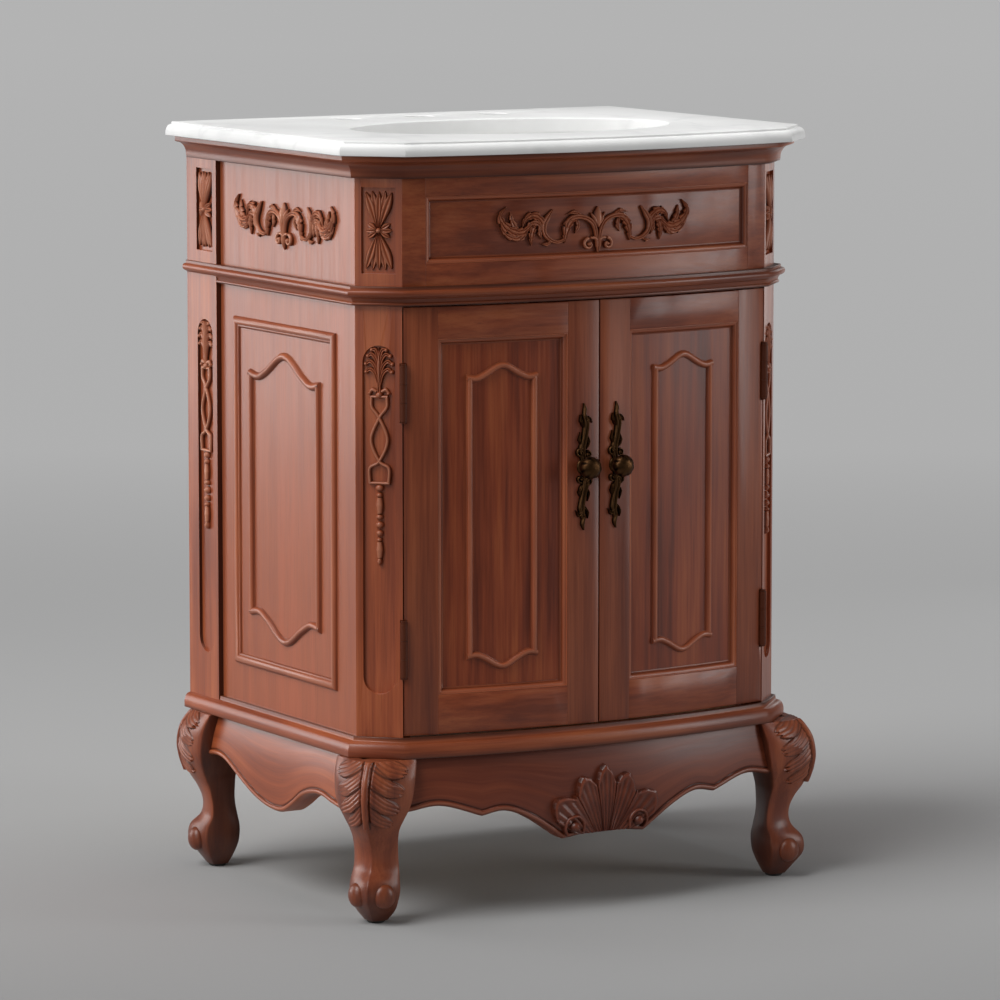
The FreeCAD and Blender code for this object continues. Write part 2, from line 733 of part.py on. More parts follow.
def panelled(stem, outside, window):
    """Stiles, rails, panel and recess moulding of one bowed frame."""
    (left, right), (low, high) = outside
    (start, end), (sill, head) = window
    depth = ("0", "door_thickness")
    panel_depth = ("panel_setback", "panel_setback + panel_thickness")
    groove = bowed(f"{stem}_groove", *grown(window, "panel_tongue + panel_fit"),
                   ("panel_setback - panel_fit", "panel_setback + panel_thickness + panel_fit"))
    spans = {"left_stile": ((left, start), (low, high)), "right_stile": ((end, right), (low, high)),
             "bottom_rail": ((start, end), (low, sill)), "top_rail": ((start, end), (head, high))}
    frame = {word: cut(f"{stem}_{word}", bowed(f"{stem}_{word}_blank", *span, depth), groove)
             for word, span in spans.items()}
    panel = bowed(f"{stem}_panel", *grown(window, "panel_tongue"), panel_depth)
    trim_depth = ("panel_moulding_drop", "panel_setback - panel_fit")
    trim = cut(f"{stem}_trim", bowed(f"{stem}_trim_outer", *window, trim_depth),
               bowed(f"{stem}_trim_inner", *grown(window, "-panel_moulding_width"), trim_depth))
    return frame, panel, trim


frieze_window = ((f"(frieze_stile_width - {BOW})", f"({BOW} - frieze_stile_width)"),
                 (f"({WAIST} + frieze_rail_height)", f"({TOP} - frieze_rail_height)"))
frieze_outside = ((f"-{BOW}", BOW), (WAIST, TOP))
frieze, frieze_panel, frieze_trim = panelled("frieze", frieze_outside, frieze_window)
node(group("frieze_frame", *frieze.values()), "frieze_frame")
node(frieze_panel, "frieze_panel")
node(frieze_trim, "frieze_moulding")

DOOR_EDGE = f"({BOW} - door_side_gap)"
DOOR_MEET = "(door_meeting_gap / 2)"
door_window = ((f"(hinge_stile_width - {DOOR_EDGE})", f"(-{DOOR_MEET} - lock_stile_width)"),
               (f"({DOOR_LOW} + bottom_rail_height)", f"({DOOR_HIGH} - top_rail_height)"))
door_outside = ((f"-{DOOR_EDGE}", f"-{DOOR_MEET}"), (DOOR_LOW, DOOR_HIGH))
door, door_panel, door_trim = panelled("door", door_outside, door_window)


# Butt hinges: knuckles at the outer corners of the doors, leaves let into the door edge and the post

door_low = size.base_level + size.base_moulding_height + size.door_gap
door_high = waist_level - size.door_gap
gap_half = size.door_side_gap / 2
knuckle_s = -(BOW_HALF - gap_half)
knuckle_turn = math.degrees(knuckle_s / carcass.radius)
knuckle_spot = on_bow(knuckle_s, size.hinge_proud)
clear_radius = size.hinge_knuckle_radius + size.knuckle_clearance
third = size.hinge_height / 3


def tube(radius, low, high):
    """A cylinder on the hinge axis."""
    return Part.makeCylinder(radius, high - low, FreeCAD.Vector(0, 0, low))


def plate(side, near, low, high):
    """A leaf on the door's side or the post's side of the gap, from a depth to the leaf's edge."""
    start = gap_half if side > 0 else -gap_half - size.hinge_leaf
    depth = clear_radius + size.hinge_leaf_width - near
    return Part.makeBox(size.hinge_leaf, depth, high - low, FreeCAD.Vector(start, near, low))


def leaf(side, stretches):
    """A hinge leaf with its knuckles over the given stretches of the hinge's height."""
    shape = plate(side, clear_radius, 0, size.hinge_height)
    for low, high in stretches:
        shape = shape.fuse(tube(size.hinge_knuckle_radius, low, high)).fuse(plate(side, 0, low, high))
    hole = tube(size.hinge_pin_radius + size.pin_clearance, -size.overrun, size.hinge_height + size.overrun)
    return shape.cut(hole).removeSplitter()


def mortise(side):
    """The room that a leaf and the knuckles need in a door edge or a post."""
    room = size.hinge_pin_radius + size.knuckle_clearance
    shape = tube(clear_radius, -room - size.joint_gap, size.hinge_height + room + size.joint_gap)
    seat = Part.makeBox(size.hinge_leaf + gap_half, clear_radius + size.hinge_leaf_width, size.hinge_height,
                        FreeCAD.Vector(0 if side > 0 else -size.hinge_leaf - gap_half, 0, 0))
    return shape.fuse(seat)


def pin():
    """The hinge pin with a round head at each end."""
    high = size.hinge_height
    head = size.hinge_pin_radius
    ends = [Part.makeCylinder(head + size.hinge_leaf, head, FreeCAD.Vector(0, 0, level))
            for level in (-head - size.joint_gap, high + size.joint_gap)]
    return tube(head, -size.joint_gap, high + size.joint_gap).multiFuse(ends).removeSplitter()


def at_hinges(shape):
    """Copies of a hinge piece at the left door's lower and upper hinge."""
    copies = []
    for level in (door_low + size.hinge_foot, door_high - size.hinge_head - size.hinge_height):
        copy = shape.copy()
        copy.Placement = FreeCAD.Placement(FreeCAD.Vector(*knuckle_spot, level),
                                           FreeCAD.Rotation(AXIS["z"], knuckle_turn))
        copies.append(copy)
    return Part.makeCompound(copies)


post_stretches = [(0, third - size.joint_gap), (2 * third + size.joint_gap, size.hinge_height)]
frame_leaves = formed("frame_leaves_left", at_hinges(leaf(-1, post_stretches)))
pins = formed("pins_left", at_hinges(pin()))
node(group("hinge_frame_leaves", frame_leaves, mirrored("frame_leaves_right", frame_leaves)),
     "hinge_frame_leaves")
node(group("hinge_pins", pins, mirrored("pins_right", pins)), "hinge_pins")
post_mortise = formed("post_mortise", at_hinges(mortise(-1)))
door_mortise = formed("door_mortise", at_hinges(mortise(1)))
pair(lambda name: cut(name, post_left, post_mortise), "front_post")


# Serpentine beads on the door panels and the side panels

ARCH_SHARES = [(-1, 0), (-0.66, 0), (-0.32, 0.45), (0, 1)]
ARCH_MIDDLE_SHARES = [None, (-0.44, 0.12), (-0.2, 0.86)]


def arch(half, low, high, rise):
    """A closed outline with upright sides and an ogee arch at its head and its foot."""
    spots = ARCH_SHARES + [(-x, y) for x, y in reversed(ARCH_SHARES[:-1])]
    mirror = [spot and (-spot[0], spot[1]) for spot in reversed(ARCH_MIDDLE_SHARES)]
    middles = ARCH_MIDDLE_SHARES + mirror
    head = [(x * half, high + y * rise) for x, y in spots]
    foot = [(-x * half, low - y * rise) for x, y in spots]
    head_middles = [spot and (spot[0] * half, high + spot[1] * rise) for spot in middles]
    foot_middles = [spot and (-spot[0] * half, low - spot[1] * rise) for spot in middles]
    points = [head[0]]
    for ends, bends in ((head, head_middles), (foot, foot_middles)):
        points += [ends[0]] if ends is foot else []
        points += [(bend, end) if bend else end for bend, end in zip(bends, ends[1:])]
    return points


def arch_ring(half, low, high, rise, at, outward):
    """The bead between an arch outline and the same outline drawn in by the bead's width."""
    width = size.arch_bead_width
    outer_face = outline_face(arch(half, low, high, rise), at)
    inner_face = outline_face(arch(half - width, low + width, high - width, rise), at)
    return outer_face.cut(inner_face).extrude(outward)


def shell(low, high, near, far):
    """A full bowed shell between two levels and two offsets from the front face."""
    base = FreeCAD.Vector(0, carcass.centre, low)
    return Part.makeCylinder(carcass.radius + far, high - low, base).cut(
        Part.makeCylinder(carcass.radius + near, high - low, base))


def door_bead():
    """The serpentine bead on the left door's bowed panel."""
    start, end = map(read, door_window[0])
    sill, head = map(read, door_window[1])
    middle = (start + end) / 2
    centre = FreeCAD.Vector(*on_bow(middle, -size.door_thickness), 0)
    turn = FreeCAD.Rotation(AXIS["z"], math.degrees(middle / carcass.radius))
    along, outward = turn.multVec(AXIS["x"]), turn.multVec(-AXIS["y"])
    low, high = sill + size.door_arch_foot, head - size.door_arch_head
    ring = arch_ring((end - start) / 2 - size.door_arch_inset, low, high, size.arch_rise,
                     lambda u, v: centre + along * u + AXIS["z"] * v, outward * size.door_thickness)
    levels = (low - 2 * size.arch_rise, high + 2 * size.arch_rise)
    return ring.common(shell(*levels, -size.panel_setback, size.arch_bead_proud - size.panel_setback))


def side_bead():
    """The serpentine bead on the left side panel."""
    first, last, low, high = map(read, (FRAME_START, FRAME_END, FRAME_LOW, FRAME_HIGH))
    middle = (first + last) / 2
    return arch_ring((last - first) / 2 - size.side_arch_inset, low + size.side_arch_foot,
                     high - size.side_arch_head, size.side_arch_rise,
                     lambda u, v: FreeCAD.Vector(-carcass.half, middle - u, v),
                     AXIS["x"] * -size.arch_bead_proud)


FRAME_START = f"({SHOULDER} + side_frame_inset)"
FRAME_END = f"({STILE_FRONT} - side_frame_back_inset)"
FRAME_LOW = "(base_level + side_frame_foot)"
FRAME_HIGH = f"({WAIST} - side_frame_head)"
FRAME_FACE = f"(-{HALF} - side_frame_proud)"
frame_outer = board("side_frame_outer", (FRAME_FACE, FRAME_START, FRAME_LOW),
                    (f"-{HALF}", FRAME_END, FRAME_HIGH))
frame_inner = board("side_frame_inner",
                    (FRAME_FACE, f"{FRAME_START} + side_frame_bead", f"{FRAME_LOW} + side_frame_bead"),
                    (f"-{HALF}", f"{FRAME_END} - side_frame_bead", f"{FRAME_HIGH} - side_frame_bead"))
side_frame = cut("side_frame", frame_outer, frame_inner)
pair(lambda name: group(name, side_frame, formed("side_bead", side_bead())), "side_moulding")


# Door pieces, handles and catches

def door_pair(thing, word):
    """A left door sub-part and its mirror image on the right door."""
    node(thing, f"left_door_{word}")
    node(mirrored(f"right_{thing.Name}", thing), f"right_door_{word}")


hinge_stile = cut("door_hinge_stile", door["left_stile"], door_mortise)
door_pair(group("door_stiles", hinge_stile, door["right_stile"]), "stiles")
door_pair(group("door_rails", door["bottom_rail"], door["top_rail"]), "rails")
door_pair(door_panel, "panel")
door_pair(group("door_mouldings", door_trim, formed("door_bead", door_bead())), "mouldings")
door_pair(formed("door_leaves", at_hinges(leaf(1, [(third, 2 * third)]))), "hinge_leaves")

handle_s = -size.handle_setback
handle_turn = FreeCAD.Rotation(AXIS["z"], math.degrees(handle_s / carcass.radius))
handle_spot = FreeCAD.Vector(*on_bow(handle_s), door_high - size.handle_drop)
PLATE_SHARES = [(0.8, 0), (0.8, 0.12), ((0.2, 0.25), (0.5, 0.4)), ((1, 0.55), (0.45, 0.7)),
                ((0.15, 0.8), (0.42, 0.88)), ((0.3, 0.98), (0, 1))]


def backplate():
    """The long waisted plate behind a knob, drawn as one quarter and its mirror images."""
    half, long_half = size.plate_width / 2, size.plate_length / 2
    along, outward = handle_turn.multVec(AXIS["x"]), handle_turn.multVec(-AXIS["y"])
    outline = [(0, 0)] + scaled(PLATE_SHARES, 0, half, long_half)
    face = outline_face(outline, lambda u, v: handle_spot + along * u + AXIS["z"] * v)
    quarter = face.extrude(outward * size.plate_thickness)
    halves = quarter.fuse(quarter.mirror(handle_spot, along))
    return halves.fuse(halves.mirror(handle_spot, AXIS["z"])).removeSplitter()


KNOB_SHARES = [(0, 0), (0.62, 0), (0.62, 0.08), (0.4, 0.16), (0.36, 0.26), (0.7, 0.34), (0.94, 0.48),
               (1, 0.62), (0.92, 0.78), (0.66, 0.92), (0.3, 0.99), (0, 1)]
knob = turned("knob", [(f"{radius} * knob_radius", f"{level} * (knob_reach - plate_thickness)")
                       for radius, level in KNOB_SHARES])
knob.Placement = FreeCAD.Placement(handle_spot + handle_turn.multVec(AXIS["y"] * -size.plate_thickness),
                                   handle_turn.multiply(FreeCAD.Rotation(AXIS["x"], 90)))
door_pair(formed("backplate", backplate()), "backplate")
door_pair(knob, "knob")
STRIKE_TOP = f"({DOOR_HIGH} - joint_gap)"
strike_span = ("-catch_width / 2", f"-{DOOR_MEET} - door_gap")
door_pair(bowed("strike", strike_span, (f"{STRIKE_TOP} - catch_height", STRIKE_TOP),
                ("door_thickness", "door_thickness + strike_thickness")), "strike")
CATCH_BACK = f"({APEX} + {LINING} + strike_thickness)"
CATCH_FRONT = f"({APEX} + door_thickness + joint_gap)"
CATCH_HIGH = f"({WAIST} + catch_height)"
catch_body = board("catch_body", ("-catch_width / 2", CATCH_BACK, f"{WAIST} - catch_height"),
                   ("catch_width / 2", f"{CATCH_BACK} + catch_depth", CATCH_HIGH))
catch_foot = board("catch_foot", ("-catch_width / 2", CATCH_FRONT, f"{WAIST} + joint_gap"),
                   ("catch_width / 2", CATCH_BACK, CATCH_HIGH))
node(fuse("magnet_catch", catch_body, catch_foot), "magnet_catch")


# Cabriole legs on the diagonals, with round bosses on the scroll feet, and their glides

# Each leg share row is a level, then the reach outwards, the reach inwards and the half width.
LEG_SHARES = [(0, 0.27, 0.27, 0.28), (0.065, 0.48, 0.41, 0.47), (0.134, 0.69, 0.52, 0.56),
              (0.194, 0.73, 0.56, 0.6), (0.253, 0.66, 0.56, 0.58), (0.317, 0.42, 0.51, 0.54),
              (0.382, 0.35, 0.46, 0.52), (0.446, 0.39, 0.44, 0.52), (0.511, 0.51, 0.45, 0.54),
              (0.575, 0.68, 0.47, 0.58), (0.64, 0.84, 0.53, 0.64), (0.71, 0.95, 0.6, 0.7),
              (0.785, 1, 0.68, 0.76), (0.88, 0.91, 0.72, 0.78), (0.952, 0.7, 0.74, 0.74),
              (1, 0.48, 0.74, 0.7)]
SECTION_POWER = 1.4
SECTION_POINTS = 16
foot_x = -(carcass.half - size.foot_side_inset)
foot_y = carcass.front + size.foot_front_inset
rear_foot_y = carcass.back - size.foot_back_inset


def leg_section(level, outward, inward, half_width):
    """A rounded square of the leg, its corner on the diagonal, as a closed curve."""
    centre, reach = (outward - inward) / 2, (outward + inward) / 2
    points = []
    for step in range(SECTION_POINTS):
        angle = 2 * math.pi * step / SECTION_POINTS
        waves = (math.cos(angle), math.sin(angle))
        bent = [math.copysign(abs(wave) ** (2 / SECTION_POWER), wave) for wave in waves]
        out, across = centre + reach * bent[0], half_width * bent[1]
        points.append(FreeCAD.Vector(foot_x + (across - out) * math.cos(EIGHTH_TURN),
                                     foot_y - (across + out) * math.cos(EIGHTH_TURN), level))
    curve = Part.BSplineCurve()
    curve.interpolate(points, PeriodicFlag=True)
    return Part.Wire(curve.toShape())


def leg():
    """The front left leg: a loft of sections with the two bosses of its foot."""
    height = size.base_level - size.glide_height
    sections = [leg_section(size.glide_height + level * height,
                            *(share * size.knee_reach for share in shares))
                for level, *shares in LEG_SHARES]
    shape = Part.makeLoft(sections, True)
    for out, lean in ((size.boss_centre, size.boss_lean), (size.boss_lean, size.boss_centre)):
        spot = FreeCAD.Vector(foot_x - out, foot_y - lean, size.boss_level)
        shape = shape.fuse(Part.makeSphere(size.boss_radius, spot))
    return shape


leg_front_left = node(formed("leg_front_left", leg()), "leg_front_left")
turn_line = FreeCAD.Vector(0, (foot_y + rear_foot_y) / 2, 0)
leg_rear_left = node(mirrored("leg_rear_left", leg_front_left, AXIS["y"], turn_line), "leg_rear_left")
leg_front_right = node(mirrored("leg_front_right", leg_front_left), "leg_front_right")
leg_rear_right = node(mirrored("leg_rear_right", leg_rear_left), "leg_rear_right")
FOOT_X = f"(foot_side_inset - {HALF})"
glide = turned("glide", [("0", "0"), ("glide_radius - glide_height / 2", "0"),
                         ("glide_radius", "glide_height / 2"), ("glide_radius", "glide_height"),
                         ("0", "glide_height")])
place(glide, FOOT_X, f"{FRONT} + foot_front_inset", "0")
rear_glide = mirrored("rear_glide", glide, AXIS["y"], turn_line)
node(group("foot_glides", glide, mirrored("glide_right", glide), rear_glide,
           mirrored("rear_glide_right", rear_glide)), "foot_glides")
doc.recompute()
legs = Part.makeCompound([thing.Shape for thing in
                          (leg_front_left, leg_rear_left, leg_front_right, leg_rear_right)])


# Swelled aprons with serpentine lower edges

FRONT_APRON_SHARES = [(-1, 0), (-1, 0.57), ((-0.84, 0.526), (-0.641, 0.665)),
                      ((-0.43, 0.715), (-0.223, 1)), ((0, 0.943), (0.223, 1)),
                      ((0.43, 0.715), (0.641, 0.665)), ((0.84, 0.526), (1, 0.57)), (1, 0)]
SIDE_APRON_SHARES = [(1, 0), (1, 0.66), ((0.88, 0.511), (0.767, 0.644)), ((0.64, 0.87), (0.504, 1)),
                     ((0.43, 0.86), (0.369, 0.733)), ((0.27, 0.585), (0.15, 0.69)), (0, 0.75), (0, 0)]
SWELL_FOOT_SHARE = 0.82
SWELL_LEVEL_SHARE = 0.45


def apron_profile(drop):
    """The apron's section: flat inside, swelled outside."""
    low = size.base_level - drop
    inner_face = size.apron_root - size.apron_thickness
    swell = (size.apron_swell, low + drop * SWELL_LEVEL_SHARE)
    return [(inner_face, low), (size.apron_swell * SWELL_FOOT_SHARE, low),
            (swell, (size.apron_root, size.base_level)), (inner_face, size.base_level)]


def serpentine(shares, start, span, drop, at):
    """A serpentine outline below the base level from shares of a span and a drop."""
    return outline_face(scaled(shares, size.base_level, span, -drop), lambda u, v: at(start + u, v))


def front_apron():
    """The bowed front apron, fitted between the legs."""
    reach = 2 * size.apron_swell
    face = serpentine(FRONT_APRON_SHARES, 0, carcass.arris, size.front_apron_drop,
                      lambda u, v: FreeCAD.Vector(u, carcass.apex - reach, v))
    run = runs(carcass, apron_profile(size.front_apron_drop))[2]
    depth = carcass.shoulder - carcass.apex + reach
    return run.common(face.extrude(AXIS["y"] * depth)).cut(legs).Solids[0]


def side_apron():
    """The left apron, fitted between the legs."""
    reach = 2 * size.apron_swell
    face = serpentine(SIDE_APRON_SHARES, foot_y, rear_foot_y - foot_y, size.side_apron_drop,
                      lambda u, v: FreeCAD.Vector(-carcass.half - reach, u, v))
    run = runs(carcass, apron_profile(size.side_apron_drop))[0]
    solids = run.common(face.extrude(AXIS["x"] * (2 * reach))).cut(legs).Solids
    return max(solids, key=lambda solid: solid.Volume)


def back_apron():
    """The plain rail between the rear legs."""
    depth = size.apron_thickness
    rail = Part.makeBox(-2 * foot_x, depth, size.back_apron_drop,
                        FreeCAD.Vector(foot_x, carcass.back - depth, size.base_level - size.back_apron_drop))
    return max(rail.cut(legs).Solids, key=lambda solid: solid.Volume)


apron = node(formed("apron_front", front_apron()), "apron_front")
pair(lambda name: formed(name, side_apron()), "apron")
node(formed("apron_back", back_apron()), "apron_back")


# Carvings: leaves, almond rings and beads laid on a surface
# Each item is a kind, its foot across and up, its tip across and up, and its width, as shares of its room.

SWAG_SHARES = [("leaf", 0, -0.9, 0, 0.761, 0.1), ("leaf", 0, -0.2, 0.154, 0.698, 0.1),
               ("leaf", 0, -0.3, 0.256, -0.079, 0.1), ("leaf", 0.1, -0.2, 0.313, 0.528, 0.09),
               ("leaf", 0.26, 0.1, 0.451, -0.437, 0.09), ("leaf", 0.4, -0.3, 0.626, 0.101, 0.09),
               ("leaf", 0.52, -0.1, 0.756, -0.304, 0.12), ("leaf", 0.62, 0, 0.804, 0.754, 0.11),
               ("leaf", 0.68, -0.1, 0.954, 0.184, 0.11), ("leaf", 0.76, 0.1, 0.984, 0.837, 0.1)]
CROSS_SHARES = [("leaf", 0, 0, 0.772, 0.953, 0.258), ("leaf", 0, 0, -0.772, 0.953, 0.258),
                ("leaf", 0, 0, -0.772, -0.953, 0.258), ("leaf", 0, 0, 0.772, -0.953, 0.258),
                ("leaf", 0, 0, 0, 0.87, 0.215), ("leaf", 0, 0, 0, -0.87, 0.215),
                ("bead", 0, 0, 0, 0, 0.323)]
PENDANT_SHARES = [("leaf", 0, -0.23, 0, 0, 0.298), ("leaf", 0, -0.22, 0.738, -0.049, 0.265),
                  ("leaf", 0, -0.22, -0.738, -0.049, 0.265), ("leaf", 0, -0.21, 0.682, -0.149, 0.232),
                  ("leaf", 0, -0.21, -0.682, -0.149, 0.232), ("ring", 0, -0.21, 0, -0.32, 0.597),
                  ("ring", 0, -0.31, 0, -0.51, 0.663), ("ring", 0, -0.5, 0, -0.62, 0.663),
                  ("leaf", 0, -0.6, 0, -0.74, 0.398), ("leaf", 0, -0.73, 0, -0.84, 0.298),
                  ("leaf", 0, -0.83, 0, -0.93, 0.239), ("leaf", 0, -0.92, 0, -1, 0.199)]
SHELL_SHARES = [("leaf", 0, 0, 0, 1, 0.366), ("leaf", 0.098, 0.02, 0.574, 0.897, 0.33),
                ("leaf", 0.244, 0.04, 0.988, 0.589, 0.305), ("leaf", 0.366, 0.06, 0.947, 0.215, 0.269),
                ("bead", 0.635, 0.14, 0.635, 0.14, 0.293)]
RING_HOLE_SHARE = 0.6


def carved_face(kind, tip, width):
    """The outline of one carved item from its foot to its tip, in its own plane."""
    long = math.hypot(*tip)
    side = (-tip[1] * width / 2 / long, tip[0] * width / 2 / long) if long else None

    def almond(share):
        near = tuple((1 - share) / 2 * value for value in tip)
        far = tuple((1 + share) / 2 * value for value in tip)
        bulge = [tuple((a + b) / 2 + sign * share * c for a, b, c in zip(near, far, side))
                 for sign in (1, -1)]
        return [near, (bulge[0], far), (bulge[1], near)]

    def flat(u, v):
        return FreeCAD.Vector(u, v, 0)
    if kind == "bead":
        return Part.Face(Part.Wire(Part.Circle(FreeCAD.Vector(), AXIS["z"], width / 2).toShape()))
    face = outline_face(almond(1), flat)
    return face.cut(outline_face(almond(RING_HOLE_SHARE), flat)) if kind == "ring" else face


def sprig(shares, across, up, breadth, proud, frame, both_sides=False):
    """Carved items joined on a surface; frame gives a placement for a place across and up."""
    items = [(kind, x * across, y * up, (tip_x - x) * across, (tip_y - y) * up, wide * breadth)
             for kind, x, y, tip_x, tip_y, wide in shares]
    if both_sides:
        items += [(kind, -x, y, -run, rise, wide) for kind, x, y, run, rise, wide in items]
    solids = []
    for kind, x, y, run, rise, wide in items:
        solid = carved_face(kind, (run, rise), wide).extrude(AXIS["z"] * proud)
        solid.Placement = frame(x, y)
        solids.append(solid)
    return solids[0].multiFuse(solids[1:])


def facing(turn):
    """The rotation that stands a flat carving upright, its face towards the front turned about Z."""
    return FreeCAD.Rotation(AXIS["z"], turn).multiply(FreeCAD.Rotation(AXIS["x"], 90))


def bow_frame(level, offset):
    """Frames along the bowed front at a level and an offset."""
    return lambda x, y: FreeCAD.Placement(FreeCAD.Vector(*on_bow(x, offset), level + y),
                                          facing(math.degrees(x / carcass.radius)))


def flat_frame(spot, turn):
    """Frames on an upright flat face."""
    along = FreeCAD.Rotation(AXIS["z"], turn).multVec(AXIS["x"])
    return lambda x, y: FreeCAD.Placement(spot + along * x + AXIS["z"] * y, facing(turn))


swag_up = size.swag_height / 2
swag_level = counter_low - size.swag_drop
node(formed("swag_front", sprig(SWAG_SHARES, size.swag_half, swag_up, size.swag_half, size.carving_proud,
                                bow_frame(swag_level, -size.panel_setback), True)), "swag_front")
side_front, side_back = read(SHOULDER), read(STILE_FRONT)
side_swag_spot = FreeCAD.Vector(-carcass.half, (side_front + side_back) / 2, swag_level)
cant_turn = -math.degrees(EIGHTH_TURN)
side_turn = 2 * cant_turn
side_swag = formed("side_swag", sprig(SWAG_SHARES, size.side_swag_half, swag_up, size.side_swag_half,
                                      size.carving_proud, flat_frame(side_swag_spot, side_turn), True))
node(group("side_swags", side_swag, mirrored("side_swag_right", side_swag)), "side_swags")
PENDANT_SHARE = 0.635


def post_carvings(spot, turn):
    """The crossed leaves and the pendant in one upright's two recesses."""
    inward = FreeCAD.Rotation(AXIS["z"], turn).multVec(AXIS["y"]) * size.recess_depth
    square_low, square_high, long_low, long_high = map(read, (SQUARE_LOW, SQUARE_HIGH, LONG_LOW, LONG_HIGH))
    cross = spot + inward + AXIS["z"] * ((square_low + square_high) / 2)
    pendant = spot + inward + AXIS["z"] * (long_high - size.pendant_inset)
    rise = (square_high - square_low) / 2 - size.cross_inset
    drop = (long_high - long_low) * PENDANT_SHARE
    return [sprig(CROSS_SHARES, size.square_recess_width / 2, rise, size.square_recess_width,
                  size.carving_proud, flat_frame(cross, turn)),
            sprig(PENDANT_SHARES, size.long_recess_width / 2, drop, size.long_recess_width,
                  size.carving_proud, flat_frame(pendant, turn))]


cant_spot = FreeCAD.Vector(-(carcass.half + carcass.arris) / 2, (carcass.front + carcass.shoulder) / 2, 0)
stile_spot = FreeCAD.Vector(-carcass.half - size.stile_proud, carcass.back - size.stile_recess_centre, 0)
left_carvings = post_carvings(cant_spot, cant_turn) + post_carvings(stile_spot, side_turn)
pair(lambda name: formed(name, Part.makeCompound(left_carvings)), "carvings")
shell_level = size.base_level - size.front_apron_drop + size.shell_lift
shell_blank = sprig(SHELL_SHARES, size.shell_half, size.shell_height, size.shell_half,
                    size.apron_swell + size.shell_proud, bow_frame(shell_level, 0), True)
shell_solids = shell_blank.cut(apron.Shape).Solids
node(formed("apron_shell", max(shell_solids, key=lambda solid: solid.Volume)), "apron_shell")


# Check every object, then write each sub-part

doc.recompute()
for thing in doc.Objects:
    assert not {"Invalid", "Error"} & set(thing.State), (thing.Name, thing.State)
os.makedirs("parts", exist_ok=True)
for thing in NODES:
    assert not thing.Shape.isNull() and thing.Shape.isValid() and thing.Shape.Solids, thing.Label
    thing.Shape.exportStep(f"parts/{thing.Label}.step")
print(len(NODES), "sub-parts written")
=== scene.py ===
"""Looks of a bow-front vanity cabinet: carved cherry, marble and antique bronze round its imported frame."""
import math
import bmesh
import bpy
import numpy as np
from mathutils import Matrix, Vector
from mathutils.geometry import delaunay_2d_cdt, tessellate_polygon


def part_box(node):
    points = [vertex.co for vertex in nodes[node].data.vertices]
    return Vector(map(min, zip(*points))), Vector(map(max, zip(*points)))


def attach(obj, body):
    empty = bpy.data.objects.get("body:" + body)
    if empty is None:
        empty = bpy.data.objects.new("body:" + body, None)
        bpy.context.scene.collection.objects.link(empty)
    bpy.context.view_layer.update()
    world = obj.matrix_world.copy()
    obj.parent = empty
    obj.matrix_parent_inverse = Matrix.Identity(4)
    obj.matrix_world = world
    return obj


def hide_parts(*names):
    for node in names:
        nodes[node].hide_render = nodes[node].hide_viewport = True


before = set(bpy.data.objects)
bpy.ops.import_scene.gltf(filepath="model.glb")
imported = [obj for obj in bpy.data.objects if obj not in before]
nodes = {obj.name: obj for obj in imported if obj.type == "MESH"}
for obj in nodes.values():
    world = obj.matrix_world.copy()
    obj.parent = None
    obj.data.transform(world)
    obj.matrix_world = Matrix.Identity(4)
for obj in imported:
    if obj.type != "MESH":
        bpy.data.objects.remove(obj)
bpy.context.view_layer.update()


def side_of(node, corner, axis):
    """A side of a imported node's box in millimetres: corner 0 is the low one, axes 0 to 2 are x, y and z."""
    return round(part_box(node)[corner][axis] * 1000, 3)


def levels(node):
    """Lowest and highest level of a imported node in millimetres."""
    return side_of(node, 0, 2), side_of(node, 1, 2)


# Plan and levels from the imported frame, in millimetres: front towards -Y, floor at 0

# Half width at the sides and at the ends of the bow, the bow's front and rise, the back, how proud a stile is
HALF = side_of("side_panel_right", 1, 0)
ARRIS = side_of("frieze_frame", 1, 0)
APEX = side_of("left_door_stiles", 0, 1)
RISE = side_of("front_post_left", 0, 1) - APEX
BACK = side_of("rear_stile_left", 1, 1)
STILE_PROUD = side_of("rear_stile_right", 1, 0) - HALF
BASE, WAIST, CORNICE = (levels(f"{stem}_front")[0]
                        for stem in ("base_moulding", "waist_moulding", "cornice"))
# Lower and upper face of the marble top, its half width, back and front
SLAB_LOW, SLAB_HIGH = levels("countertop")
TOP_HALF, TOP_BACK = (side_of("countertop", 1, axis) for axis in (0, 1))
TOP_FRONT = side_of("countertop", 0, 1)
# Radius and centre of the bow, and where the cants meet the sides
RADIUS = (ARRIS ** 2 + RISE ** 2) / (2 * RISE)
CENTRE = APEX + RADIUS
SHOULDER = APEX + RISE + HALF - ARRIS
DIAGONAL = math.sqrt(0.5)
# Depth of the carved recesses, and how far from its back the rear stile has the middle of its own
RECESS, STILE_MIDDLE = 4.0, 45.0


# Curves and profiles

def ease(value, low, high):
    """How far a value is on the way from low to high, held between 0 and 1."""
    return np.clip((value - low) / (high - low), 0, 1)


def bell(value, middle, width):
    """A bell curve of height 1: e to the minus square of the distance from its middle in widths."""
    return np.exp(-((value - middle) / width) ** 2)


def curve(points, count):
    """A smooth line through points: each stretch is the cubic whose end slopes are half the step between
    neighbours."""
    points = np.asarray(points, float)
    padded = np.concatenate([2 * points[:1] - points[1:2], points, 2 * points[-1:] - points[-2:-1]])
    t = np.linspace(0, len(points) - 1, count)
    i = np.minimum(t.astype(int), len(points) - 2)
    f = (t - i)[:, None]
    a, b, c, d = (padded[i + k] for k in range(4))
    return b + 0.5 * f * (c - a + f * (2 * a - 5 * b + 4 * c - d + f * (3 * (b - c) + d - a)))


